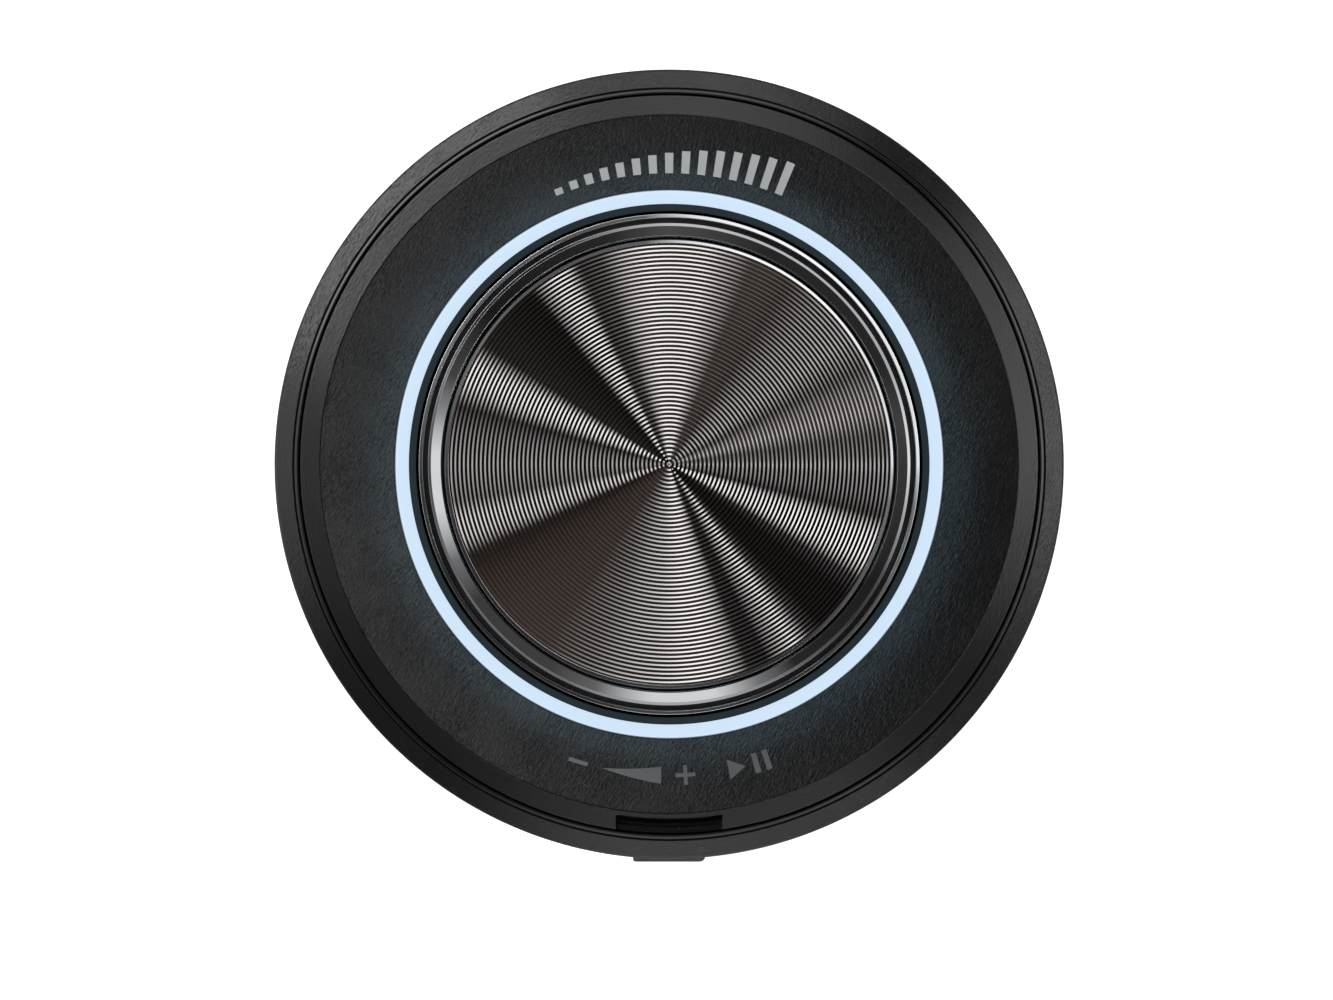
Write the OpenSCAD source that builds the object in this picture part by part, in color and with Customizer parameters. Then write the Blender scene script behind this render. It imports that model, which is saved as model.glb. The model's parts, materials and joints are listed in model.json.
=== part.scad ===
// Round volume control for a panel: a knob that turns and presses, inside a lit ring, in a sealed
// housing whose face cover is levered off to reach the panel screws.
//
// The origin is the centre of the panel cut-out, on the panel's front face. +Z points at the user,
// +Y is up when the control is mounted, and the lever slot is at the bottom, at -Y.
// What stands behind the panel has a negative Z.

/* [Housing] */
// Outside diameter of the rim
rim_d = 60; // [59:0.5:68]
// Radial thickness of the rim round the face cover
rim_wall = 1.9; // [1.6:0.05:2.1]
// Small chamfer at the outer edge of the rim
rim_edge = 0.14; // [0.08:0.02:0.3]
// Height of the rim's outer wall above the flange's back
rim_wall_h = 2.1; // [1.6:0.1:2.4]
// Height of the rim's lip above the flange
lip_h = 1.42; // [1.3:0.02:2]
// Width of the rounded lip beside the face cover
lip_w = 0.34; // [0.24:0.02:0.6]
// Thickness of the flange behind the face cover
flange_t = 2; // [1.8:0.1:3]
// Wall of the barrel that goes through the panel
barrel_wall = 1.6; // [1.2:0.1:2]
// How far the barrel reaches behind the panel
barrel_depth = 20; // [19:0.5:30]
// Width of the index tab under the rim
tab_w = 5.5; // [3:0.5:9]
// How far the index tab stands out of the rim
tab_proud = 0.32; // [0.2:0.02:0.6]
// Height of the index tab
tab_h = 1.8; // [0.8:0.1:1.8]

/* [Panel fixing] */
// Thickness of the panel gasket
gasket_t = 1; // [0.5:0.1:2]
// Clearance round the barrel in the panel cut-out
cutout_gap = 0.4; // [0.2:0.05:0.6]
// Distance from the cut-out's edge to the middle of each panel screw hole
screw_edge = 2.6; // [2.5:0.05:2.75]
// Diameter of the panel screw holes
screw_hole_d = 2.9; // [2.6:0.1:3.3]
// Diameter of the countersinks for the screw heads
screw_head_d = 4.9; // [4.4:0.1:5]
// Depth of the straight part of each screw hole
screw_land = 1.1; // [0.6:0.1:1.4]
// How far the gasket's outer edge stays inside the rim
gasket_inset = 0.8; // [0.4:0.1:1.5]
// How far the gasket's hole stays clear of the cut-out's edge
gasket_clear = 0.5; // [0.45:0.05:0.7]

/* [Face cover] */
// Gap between the face cover and the rim
cover_gap = 0.11; // [0.08:0.01:0.2]
// Width of the smooth bevel round the face
bevel_w = 1.5; // [1.2:0.05:1.8]
// Height of the bevel
bevel_h = 0.95; // [0.7:0.05:1.4]
// Rounding at the bevel's outer edge
bevel_round = 0.16; // [0.08:0.02:0.3]
// Width of the fine groove between the bevel and the fascia
groove_w = 0.12; // [0.08:0.02:0.2]
// Height that the fascia climbs from the groove to the lit ring
fascia_h = 0.85; // [0.6:0.05:1.4]
// How far the fascia swells above a straight cone
fascia_swell = 0.16; // [0.05:0.01:0.3]
// Wall thickness of the face cover
cover_t = 1.15; // [0.9:0.05:1.2]
// Thickness of the two skirts that stand on the flange
skirt_t = 0.7; // [0.6:0.05:1]
// Width of the lever slot
slot_w = 8; // [5:0.5:12]
// Height of the lever slot's floor above the flange
slot_floor_h = 0.45; // [0.2:0.05:0.6]
// Distance from the face cover's edge to the lever slot
slot_edge = 0.42; // [0.3:0.02:0.5]
// Radial size of the lever slot
slot_r = 0.7; // [0.5:0.05:0.8]
// Diameter of the pegs that hold the face cover
peg_d = 2; // [1.6:0.1:2.4]
// Length of the pegs below the face cover's skirts
peg_l = 1.4; // [1:0.1:1.5]

/* [Lit ring] */
// Width of the lit ring
ring_w = 0.94; // [0.8:0.02:1.4]
// How far the lit ring stands above the fascia
ring_proud = 0.12; // [0.05:0.01:0.3]
// Rounding of the lit ring's top edges
ring_round = 0.2; // [0.1:0.02:0.3]
// Number of light guide legs, and of lamps under them
lamp_count = 12; // [8:4:12]
// Width of a light guide leg round the ring
leg_w = 2.4; // [1.6:0.1:3]
// Radial thickness of a light guide leg
leg_t = 0.62; // [0.5:0.02:0.7]
// Width of the dark land between the lit ring and the knob
land_w = 0.58; // [0.5:0.02:0.9]

/* [Knob] */
// Outside diameter of the grip
grip_d = 35.86; // [35:0.1:36.4]
// How far the knob's foot stands out of the grip
foot_w = 0.98; // [0.8:0.02:1.1]
// Gap between the foot and the well that it sits in
foot_gap = 0.2; // [0.15:0.01:0.3]
// Thickness of the foot
foot_t = 1.2; // [0.9:0.1:1.3]
// How far the foot's edge stands above the fascia
foot_rise = 0.4; // [0.2:0.05:0.8]
// Height of the knob above the fascia
knob_h = 10.6; // [10:0.2:14]
// Wall of the knob's grip
grip_wall = 1.5; // [1.2:0.1:2]
// Number of fine flutes round the grip
flute_count = 120; // [60:10:140]
// Depth of the flutes
flute_depth = 0.12; // [0.06:0.02:0.2]
// Radial width of the shoulder on top of the grip
shoulder_w = 1.05; // [0.9:0.05:1.4]
// Height of the shoulder
shoulder_h = 0.8; // [0.7:0.05:1.5]
// Black gap between the shoulder and the inlaid disc
inlay_gap = 0.18; // [0.12:0.01:0.3]
// Thickness of the inlaid disc
inlay_t = 1.3; // [0.9:0.1:1.3]
// How far the inlaid disc lies below the shoulder's crest
inlay_drop = 0.04; // [0.02:0.02:0.4]
// Width of the bright cut edge round the disc
inlay_rim = 0.3; // [0.2:0.02:0.5]
// Number of turned grooves in the disc
inlay_grooves = 52; // [30:1:60]
// Depth of the turned grooves
inlay_groove_depth = 0.05; // [0.03:0.01:0.08]
// Thickness of the adhesive film under the disc
film_t = 0.15; // [0.1:0.01:0.25]
// Thickness of the cap's top wall and of the hub's flange
knob_web = 1.1; // [0.9:0.1:1.4]
// Outside diameter of the hub that takes the shaft
hub_d = 10.4; // [9.4:0.2:13]
// Outside diameter of the hub's flange and ribs
hub_flange_d = 27; // [20:0.5:30]
// Thickness of the split steel ring on the hub
clip_t = 0.5; // [0.3:0.05:0.7]
// Height of the split steel ring
clip_h = 2.4; // [1.6:0.1:2.6]
// How far the knob travels when it is pressed
press_travel = 1.5; // [0.5:0.1:1.6]

/* [Encoder] */
// Diameter of the shaft
shaft_d = 6; // [5:0.1:6.4]
// Distance from the shaft's axis to its flat
shaft_flat = 2.3; // [1.9:0.1:2.4]
// Diameter of the bushing's thread
bushing_d = 9; // [8.8:0.1:9.6]
// How far the bushing stands above the flange
bushing_h = 3; // [2.8:0.1:3.2]
// Thickness of the nut on the bushing
nut_t = 2; // [1.5:0.1:2.2]
// Size of the nut across its flats
nut_af = 12; // [11.6:0.1:13]
// Thickness of the washer under the nut
washer_t = 0.5; // [0.3:0.1:0.6]
// Side of the encoder's square case
encoder_w = 15.6; // [15.4:0.1:16]
// Height of the encoder's case
encoder_h = 9.6; // [9.5:0.1:11]
// Thickness of the encoder case's floor
case_floor_t = 0.8; // [0.6:0.1:1]
// Thinnest wall of the encoder's case
case_wall = 0.9; // [0.7:0.1:1.2]
// Sheet thickness of the encoder's frame
frame_t = 0.6; // [0.4:0.05:0.8]
// Thickness of the bushing's foot
bushing_foot_t = 0.8; // [0.6:0.1:1]
// Thickness of the rotor's floor
rotor_t = 1.3; // [1:0.1:1.5]
// Wall of the rotor's toothed rim
rotor_wall = 1.1; // [0.8:0.1:1.4]
// Thickness of the shaft's collar, which stops it under the bushing
collar_t = 0.7; // [0.5:0.1:1]
// How far the collar stands out of the shaft
collar_w = 1.1; // [0.9:0.1:1.3]
// Diameter of the switch's plunger
plunger_d = 3.8; // [3.2:0.1:4.2]
// Thickness of the switch's plunger
plunger_t = 0.6; // [0.4:0.1:0.8]
// Thickness of the switch's snap dome
dome_t = 0.15; // [0.1:0.05:0.2]
// Number of clicks in a turn
click_count = 24; // [12:4:30]
// Curls of the return spring
spring_curls = 4; // [3:0.5:4]
// Wire of the return spring
spring_wire = 0.4; // [0.3:0.02:0.42]

/* [Boards] */
// Thickness of the circuit boards
board_t = 1.6; // [1:0.1:1.6]
// Gap between the flange's back and the lamp board
lamp_board_drop = 2.1; // [1.8:0.1:2.6]
// Distance of the four pillars from the axis
pillar_at = 15.8; // [15.4:0.1:16]
// Diameter of the pillars and of the rear cover's legs
pillar_d = 4.4; // [4:0.1:4.6]
// Diameter of the case screws
case_screw_d = 2; // [1.6:0.1:2.2]
// Depth that the case screws reach into the pillars
case_screw_grip = 6; // [4:0.5:6]
// Height of the lamps on the lamp board
lamp_h = 0.65; // [0.5:0.05:0.8]
// Height of the header for the cable's leads
header_h = 6; // [5:0.5:6]

/* [Rear cover and cable gland] */
// Thickness of the rear cover
rear_t = 2; // [1.8:0.1:3]
// Length of the rear cover's spigot inside the barrel
spigot_l = 2.6; // [2.4:0.1:3.4]
// Wall of the rear cover's spigot
spigot_wall = 1.8; // [1.6:0.1:2.2]
// Section diameter of the round seals
seal_d = 0.9; // [0.8:0.05:1]
// Diameter of the gland's thread
gland_d = 12; // [11:0.5:13]
// Size of the gland's hexagons across their flats
gland_af = 15; // [15:0.5:17]
// Height of the gland's hexagon
gland_hex_h = 4; // [3:0.5:6]
// Thickness of the gland's flat washer
gland_washer_t = 1; // [0.5:0.1:1.5]
// Height of the gland's nut inside the rear cover
locknut_t = 2.5; // [2:0.1:3]
// Length of the gland's outer thread
gland_thread = 6.5; // [5:0.5:9]
// Bore of the gland's rubber sleeve, for the cable
cable_bore_d = 5.6; // [4:0.2:6]
// Wall of the gland's rubber sleeve
sleeve_wall = 1.5; // [1.2:0.1:1.6]

/* [Hidden] */

$fn = 96;
// Clearance between pieces that sit in each other and don't move
seat_gap = 0.05;
// Radial clearance of the shaft in its bushing and of the rotor on the shaft
run_gap = 0.05;
// Clearance round pieces that move past each other
move_gap = 0.3;
// Overlap that makes a cut come clear of a face
cut = 0.5;
// Small chamfer on turned and moulded edges
small_edge = 0.2;
// Finest chamfer, at the lit ring's two sides
collar_edge = 0.08;

// Heights, from the panel up
flange_z = gasket_t;
floor_z = flange_z + flange_t;
lip_z = floor_z + lip_h;
fascia_low_z = lip_z + bevel_h;
fascia_z = fascia_low_z + fascia_h;
foot_top_z = fascia_z + foot_rise;
foot_low_z = foot_top_z - foot_t;
knob_top_z = fascia_z + knob_h;
shoulder_z = knob_top_z - shoulder_h;
inlay_z = knob_top_z - inlay_drop;
recess_z = inlay_z - inlay_t - film_t;
cap_web_z = recess_z - knob_web;
hub_flange_z = cap_web_z - knob_web;

// Radii, from the axis out to the barrel
grip_r = grip_d / 2;
foot_r = grip_r + foot_w;
well_r = foot_r + foot_gap;
collar_r = well_r + land_w;
ring_in_r = collar_r + seat_gap;
ring_r = ring_in_r + ring_w;
cover_in_r = ring_r + seat_gap;
bore_r = ring_r;
barrel_r = bore_r + barrel_wall;
cutout_r = barrel_r + cutout_gap;

// Radii, from the rim in to the fascia
rim_r = rim_d / 2;
pocket_r = rim_r - rim_wall;
cover_r = pocket_r - cover_gap;
bevel_in_r = cover_r - bevel_w;
screw_r = cutout_r + screw_edge;
lip_out_r = pocket_r + lip_w;
cone_top_z = lip_z - small_edge;
rim_wall_z = flange_z + rim_wall_h;

// The inlaid disc and the recess that holds it
shoulder_in_r = grip_r - shoulder_w;
inlay_r = shoulder_in_r - inlay_gap;
turned_r = inlay_r - inlay_rim;

// The encoder's stack, from the bushing's top down
bushing_top_z = floor_z + bushing_h;
frame_low_z = flange_z - frame_t;
bushing_low_z = frame_low_z - bushing_foot_t;
case_low_z = bushing_low_z - encoder_h;
case_floor_z = case_low_z + case_floor_t;
case_bore_r = encoder_w / 2 - case_wall;
bushing_r = bushing_d / 2;
bushing_foot_r = encoder_w / 2 - 0.4;
plunger_r = plunger_d / 2;
shaft_r = shaft_d / 2;
shaft_low_z = case_floor_z + dome_t + run_gap + press_travel + plunger_t;
// The shaft's slim tip, and how far the rotor's floor reaches below the tip's shoulder
tip_l = 0.9;
tip_r = plunger_r - 0.2;
rotor_reach = 0.5;
rotor_low_z = shaft_low_z + tip_l - rotor_reach;
rotor_top_z = rotor_low_z + rotor_t;
rotor_r = case_bore_r - move_gap;
collar_top_z = bushing_low_z - run_gap;
collar_low_z = collar_top_z - collar_t;
click_t = 0.4;
click_z = bushing_low_z - click_t;

// The hub on the shaft: it stays clear of the bushing when the knob is pressed
hub_low_z = bushing_top_z + press_travel + 2 * move_gap;
hub_bore_end_z = hub_flange_z + 0.2;
shaft_top_z = hub_bore_end_z - 0.2;
clip_z = hub_low_z + 3 * move_gap;

// The return spring: its mean radius clears the shaft at the middle of each straight stretch of wire
wire_sides = 6;
curl_rings = 8;
spring_mean_r = (shaft_r + 3 * run_gap + spring_wire / 2) / cos(180 / curl_rings);
spring_h = collar_low_z - rotor_top_z;
coil_rings = spring_curls * curl_rings;
coil_climb = (spring_h - spring_wire - 2 * run_gap) / spring_curls;

// The boards
board_gap = 0.25;
board_r = bore_r - board_gap;
lamp_board_z = flange_z - lamp_board_drop;
lamp_board_in_r = encoder_w * 0.75;
main_board_z = case_low_z;
main_board_low_z = main_board_z - board_t;
pillar_r = pillar_d / 2;
pillar_step_r = pillar_r + 0.5;
pillar_angles = [45, 135, 225, 315];
// Angle from each pillar to the peg of the face cover beside it
peg_turn = 45;
case_screw_r = case_screw_d / 2;
lamp_w = 0.8;
lamp_l = 1.6;
leg_mid_r = ring_in_r + leg_t / 2;
leg_low_z = lamp_board_z + lamp_h + 0.1;
// How far pins and lugs stand out past the main board
through = 0.9;

// Places of the pins and lugs on the main board
pin_w = 0.64;
pin_hole_w = 0.8;
link_x = 15.4;
link_pitch = 2;
link_pins = 4;
header_y = 12.2;
header_pitch = 2.5;
header_pins = 4;
lug_y = 5;
lug_w = 2.4;
lug_x = encoder_w / 2 + seat_gap + frame_t / 2;
terminal_y = 6.6;
terminal_pitch = 2.5;
terminal_w = 0.8;
terminal_t = 0.4;

// The rear cover
rear_z = -barrel_depth;
rear_low_z = rear_z - rear_t;
rear_r = barrel_r - 0.25;
spigot_r = bore_r - 0.1;
seal_groove_z = rear_z + spigot_l / 2;
screw_head_h = 1.2;
screw_head_r = case_screw_r + 0.9;
screw_seat_z = rear_low_z + screw_head_h + 0.1;

// The cable gland
gland_r = gland_d / 2;
gland_hex_z = rear_low_z - gland_washer_t;
gland_stub_z = gland_hex_z - gland_hex_h;
gland_end_z = gland_stub_z - gland_thread;
gland_inner_z = rear_z + locknut_t + 1;
stub_r = gland_r - 0.5;
cable_bore_r = cable_bore_d / 2;
cable_way_r = cable_bore_r + 0.3;
sleeve_r = cable_bore_r + sleeve_wall;
sleeve_proud = 1.2;
sleeve_low_z = gland_end_z - sleeve_proud;
sleeve_l = gland_thread;
gland_nut_gap = 0.5;
gland_nut_end_t = 1.6;
gland_nut_low_z = sleeve_low_z - gland_nut_end_t;

// Places of a row of things, centred on zero
function row(count, pitch) = [for (i = [0 : count - 1]) (i - (count - 1) / 2) * pitch];

// A six-sided prism that stands on z = 0, by its size across flats
module hex_prism(af, h) {
  cylinder(r = af / 2 / cos(30), h = h, $fn = 6);
}

// A round plate or plug between two heights
module disc(r, z0, z1) {
  translate([0, 0, z0])
    cylinder(r = r, h = z1 - z0);
}

// A ring with a rectangular section
module tube(r_out, r_in, z0, z1) {
  difference() {
    disc(r_out, z0, z1);
    disc(r_in, z0 - cut, z1 + cut);
  }
}

// A round seal with a circular section
module seal_ring(mean_r, section_r, z) {
  translate([0, 0, z])
    rotate_extrude()
      translate([mean_r, 0])
        circle(r = section_r, $fn = 32);
}

// A post between two heights, at a distance from the axis and an angle
module post(at_r, angle, r, z0, z1) {
  rotate([0, 0, angle])
    translate([at_r, 0, z0])
      cylinder(r = r, h = z1 - z0, $fn = 48);
}

// A box centred on a point in plan, between two heights
module block(x, y, w, l, z0, z1) {
  translate([x - w / 2, y - l / 2, z0])
    cube([w, l, z1 - z0]);
}

// Radial bars, one for each lamp, that cut legs and windows out of a ring
module lamp_bars(width, z0, z1) {
  for (i = [0 : lamp_count - 1])
    rotate([0, 0, i * 360 / lamp_count])
      block(leg_mid_r, 0, 3 * leg_t, width, z0, z1);
}

// The shaft's section with its flat, grown by a clearance
module shaft_section(gap) {
  intersection() {
    circle(r = shaft_r + gap);
    translate([-shaft_d, -shaft_d])
      square([2 * shaft_d, shaft_d + shaft_flat + gap]);
  }
}

// Housing: flange, rim with its cone and lip, collar of the knob's well, and the barrel
module housing_profile() {
  lip_round = lip_w / 4;
  polygon([
    [bushing_r + seat_gap, flange_z],
    [bore_r, flange_z],
    [bore_r, rear_z],
    [barrel_r - small_edge, rear_z],
    [barrel_r, rear_z + small_edge],
    [barrel_r, flange_z],
    [rim_r - small_edge, flange_z],
    [rim_r, flange_z + small_edge],
    [rim_r, rim_wall_z],
    [rim_r - rim_edge, rim_wall_z + rim_edge],
    [lip_out_r + lip_round, cone_top_z],
    [lip_out_r, cone_top_z],
    [lip_out_r - lip_round, lip_z - lip_round / 3],
    [lip_out_r - 2 * lip_round, lip_z],
    [pocket_r + lip_round, lip_z - lip_round / 3],
    [pocket_r, lip_z - lip_round],
    [pocket_r, floor_z],
    [collar_r, floor_z],
    [collar_r, fascia_z - collar_edge],
    [collar_r - collar_edge, fascia_z],
    [well_r + collar_edge, fascia_z],
    [well_r, fascia_z - collar_edge],
    [well_r, floor_z],
    [bushing_r + seat_gap, floor_z]
  ]);
}

// A countersunk screw hole through the flange
module screw_hole(angle) {
  post(screw_r, angle, screw_hole_d / 2, flange_z - cut, floor_z);
  post(screw_r, angle, screw_head_d / 2, floor_z, floor_z + cut);
  rotate([0, 0, angle])
    translate([screw_r, 0, flange_z + screw_land])
      cylinder(d1 = screw_hole_d, d2 = screw_head_d, h = flange_t - screw_land);
}

module base_housing() {
  tab_root = 1;
  socket_spare = 0.1;
  color("#2b2b2d")
    difference() {
      union() {
        rotate_extrude($fn = 180) housing_profile();
        block(
          0, -rim_r + (tab_root - tab_proud) / 2, tab_w, tab_root + tab_proud,
          flange_z, flange_z + tab_h
        );
        for (a = pillar_angles) {
          post(pillar_at, a, pillar_r, main_board_z, flange_z + cut);
          post(pillar_at, a, pillar_step_r, lamp_board_z, flange_z + cut);
        }
      }
      for (a = pillar_angles) {
        post(pillar_at, a, case_screw_r, main_board_z - cut, main_board_z + case_screw_grip + cut);
        screw_hole(a);
        post(
          screw_r, a + peg_turn, peg_d / 2 + seat_gap,
          floor_z - peg_l - socket_spare, floor_z + cut
        );
      }
      intersection() {
        tube(ring_in_r + leg_t + seat_gap, collar_r, flange_z - cut, floor_z + cut);
        lamp_bars(leg_w + 2 * seat_gap, flange_z - 2 * cut, floor_z + 2 * cut);
      }
    }
}

module panel_gasket() {
  color("#141414")
    difference() {
      tube(rim_r - gasket_inset, cutout_r + gasket_clear, 0, gasket_t);
      for (a = pillar_angles)
        post(screw_r, a, screw_hole_d / 2, -cut, gasket_t + cut);
    }
}

// Height of the fascia's surface at a radius: a cone with a shallow swell
fascia_steps = 8;
fascia_out_r = bevel_in_r - groove_w;
fascia_in_r = cover_in_r + collar_edge;
function fascia_share(r) = (fascia_out_r - r) / (fascia_out_r - fascia_in_r);
function fascia_at(r) =
  fascia_low_z + fascia_h * fascia_share(r)
  + 4 * fascia_swell * fascia_share(r) * (1 - fascia_share(r));

// Height of the cover's hollow underside at a radius, between the two skirts
inner_skirt_r = cover_in_r + skirt_t;
function underside_at(r) =
  fascia_low_z - cover_t + fascia_h * (bevel_in_r - r) / (bevel_in_r - inner_skirt_r);

// Face cover: bevel, fine groove and fascia on two skirts, with a hollow between them
module cover_profile() {
  skin = [
    for (i = [0 : fascia_steps])
      let (r = fascia_out_r - (fascia_out_r - fascia_in_r) * i / fascia_steps)
        [r, fascia_at(r)]
  ];
  outer_skirt_r = cover_r - skirt_t;
  polygon(concat(
    [
      [cover_in_r, floor_z],
      [inner_skirt_r, floor_z],
      [inner_skirt_r, fascia_z - cover_t],
      [bevel_in_r, fascia_low_z - cover_t],
      [outer_skirt_r, lip_z + bevel_h * skirt_t / bevel_w - cover_t],
      [outer_skirt_r, floor_z],
      [cover_r, floor_z],
      [cover_r, lip_z - bevel_round],
      [cover_r - 0.3 * bevel_round, lip_z - 0.3 * bevel_round],
      [cover_r - bevel_round, lip_z],
      [bevel_in_r, fascia_low_z],
      [bevel_in_r - groove_w / 2, fascia_low_z - groove_w]
    ],
    skin,
    [[cover_in_r, fascia_z - collar_edge]]
  ));
}

module face_cover() {
  slot_out_r = cover_r - slot_edge;
  slot_low_z = floor_z + slot_floor_h;
  sill_z = (slot_low_z + lip_z) / 2;
  peg_r = peg_d / 2;
  peg_top_z = underside_at(screw_r - peg_r) + small_edge;
  color("#1b1b1c")
    difference() {
      union() {
        rotate_extrude($fn = 180) cover_profile();
        for (a = pillar_angles)
          post(screw_r, a + peg_turn, peg_r, floor_z - peg_l, peg_top_z);
      }
      intersection() {
        tube(slot_out_r, slot_out_r - slot_r, slot_low_z, fascia_z);
        block(0, -cover_r, slot_w, cover_r, floor_z, fascia_z + cut);
      }
      intersection() {
        tube(cover_r + cut, slot_out_r - cut, sill_z, fascia_z);
        block(0, -cover_r, slot_w, cover_r, floor_z, fascia_z + cut);
      }
    }
}

module light_ring() {
  top_z = fascia_z + ring_proud;
  color("#d3e8fc")
    union() {
      rotate_extrude($fn = 180)
        polygon([
          [ring_in_r, floor_z],
          [ring_r, floor_z],
          [ring_r, top_z - ring_round],
          [ring_r - 0.3 * ring_round, top_z - 0.3 * ring_round],
          [ring_r - ring_round, top_z],
          [ring_in_r + ring_round, top_z],
          [ring_in_r + 0.3 * ring_round, top_z - 0.3 * ring_round],
          [ring_in_r, top_z - ring_round]
        ]);
      intersection() {
        tube(ring_in_r + leg_t, ring_in_r, leg_low_z, floor_z + cut);
        lamp_bars(leg_w, leg_low_z - cut, floor_z + cut);
      }
    }
}

// White wall that keeps the lamps' light away from the encoder
module light_shroud() {
  shroud_r = ring_in_r - move_gap;
  color("#eeeeea")
    tube(shroud_r, pillar_at + pillar_step_r + seat_gap, lamp_board_z, flange_z);
}

module lamp_board() {
  color("#1f5a36")
    difference() {
      tube(board_r, lamp_board_in_r, lamp_board_z - board_t, lamp_board_z);
      for (a = pillar_angles)
        post(
          pillar_at, a, pillar_r + 3 * seat_gap,
          lamp_board_z - board_t - cut, lamp_board_z + cut
        );
    }
}

module ring_lamps() {
  color("#f4f6dc")
    for (i = [0 : lamp_count - 1])
      rotate([0, 0, i * 360 / lamp_count])
        block(leg_mid_r, 0, lamp_w, lamp_l, lamp_board_z, lamp_board_z + lamp_h);
}

// A slot or square hole through the main board
module board_hole(x, y, w, l) {
  block(x, y, w, l, main_board_low_z - cut, main_board_z + cut);
}

// Main board, with holes for the case screws, the encoder's lugs and all pins
module main_board() {
  hole_spare = 0.2;
  color("#1f5a36")
    difference() {
      disc(board_r, main_board_low_z, main_board_z);
      for (a = pillar_angles)
        post(pillar_at, a, case_screw_r + seat_gap, main_board_low_z - cut, main_board_z + cut);
      for (s = [-1, 1], y = [-lug_y, lug_y])
        board_hole(s * lug_x, y, frame_t + hole_spare, lug_w + hole_spare);
      for (x = row(3, terminal_pitch))
        board_hole(x, -terminal_y, terminal_w + hole_spare, terminal_t + hole_spare);
      for (x = row(2, 2 * terminal_pitch))
        board_hole(x, terminal_y, terminal_w + hole_spare, terminal_t + hole_spare);
      for (y = row(link_pins, link_pitch))
        board_hole(link_x, y, pin_hole_w, pin_hole_w);
      for (x = row(header_pins, header_pitch))
        board_hole(x, header_y, pin_hole_w, pin_hole_w);
    }
}

// Header that joins the lamp board to the main board
module board_link() {
  link_w = 2.4;
  color("#101010")
    difference() {
      block(
        link_x, 0, link_w, link_pins * link_pitch,
        main_board_z, lamp_board_z - board_t
      );
      for (y = row(link_pins, link_pitch))
        block(link_x, y, pin_hole_w, pin_hole_w, main_board_z - cut, lamp_board_z + cut);
    }
}

module board_link_pins() {
  color("#d9b45a")
    for (y = row(link_pins, link_pitch))
      block(
        link_x, y, pin_w, pin_w,
        main_board_low_z - through, lamp_board_z - board_t - seat_gap
      );
}

// Square flat chip with leads on its four sides, under the main board
module control_chip() {
  chip_x = -1;
  chip_y = -12.4;
  chip_w = 7;
  chip_t = 1.2;
  stand_off = 0.1;
  lead_count = 8;
  lead_pitch = 0.8;
  lead_w = 0.35;
  lead_reach = 0.9;
  color("#1a1a1a")
    translate([chip_x, chip_y, main_board_low_z])
      union() {
        block(0, 0, chip_w, chip_w, -stand_off - chip_t, -stand_off);
        for (turn = [0, 90])
          rotate([0, 0, turn])
            for (y = row(lead_count, lead_pitch))
              block(0, y, chip_w + 2 * lead_reach, lead_w, -lead_w, 0);
      }
}

// Power chip with one wide tab and three leads
module voltage_regulator() {
  body_x = 12;
  body_y = -4.2;
  body_w = 3.5;
  body_l = 6.2;
  body_t = 1.6;
  stand_off = 0.1;
  lead_t = 0.3;
  lead_w = 0.7;
  lead_reach = 0.8;
  lead_pitch = 2.3;
  tab_l = 3;
  color("#1a1a1a")
    translate([body_x, body_y, main_board_low_z])
      union() {
        block(0, 0, body_w, body_l, -body_t, -stand_off);
        block(-lead_reach / 2, 0, body_w + lead_reach, tab_l, -lead_t, 0);
        for (y = row(3, lead_pitch))
          block(lead_reach / 2, y, body_w + lead_reach, lead_w, -lead_t, 0);
      }
}

// Two radial capacitors on square bases
module capacitors() {
  can_x = -13.2;
  can_d = 5;
  can_h = 5.4;
  base_w = 5.4;
  base_t = 1;
  spacing = 5.8;
  color("#b8bcc0")
    translate([can_x, 0, main_board_low_z])
      for (y = row(2, spacing))
        union() {
          block(0, y, base_w, base_w, -base_t, 0);
          translate([0, y, -can_h])
            cylinder(d = can_d, h = can_h - base_t / 2);
        }
}

// Crystal: a flat can on a wider foot
module crystal() {
  can_x = 12.2;
  can_y = 3.4;
  can_w = 4.2;
  can_l = 3;
  can_h = 3.2;
  foot_l = 0.2;
  foot_h = 0.4;
  color("#c9ccce")
    translate([can_x, can_y, main_board_low_z])
      union() {
        block(0, 0, can_w, can_l, -can_h, -foot_h / 2);
        block(0, 0, can_w + 2 * foot_l, can_l + 2 * foot_l, -foot_h, 0);
      }
}

// Shrouded header where the cable's leads plug in, with a notch in one side
header_end = 1.2;
header_w = header_pins * header_pitch + 2 * header_end;
header_l = 5.6;
header_wall = 0.9;
header_low_z = main_board_low_z - header_h;
module wire_header() {
  notch_w = 4;
  notch_h = 2;
  pin_fit = 0.04;
  color("#e8e4d8")
    difference() {
      block(0, header_y, header_w, header_l, header_low_z, main_board_low_z);
      block(
        0, header_y, header_w - 2 * header_wall, header_l - 2 * header_wall,
        header_low_z - cut, main_board_low_z - header_wall
      );
      block(
        0, header_y + header_l / 2, notch_w, 2 * header_wall + cut,
        header_low_z - cut, header_low_z + notch_h
      );
      for (x = row(header_pins, header_pitch))
        block(x, header_y, pin_w + pin_fit, pin_w + pin_fit, header_low_z, main_board_low_z + cut);
    }
}

module wire_header_pins() {
  pin_inset = 1;
  color("#d9b45a")
    for (x = row(header_pins, header_pitch))
      block(x, header_y, pin_w, pin_w, header_low_z + pin_inset, main_board_z + through);
}

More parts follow.
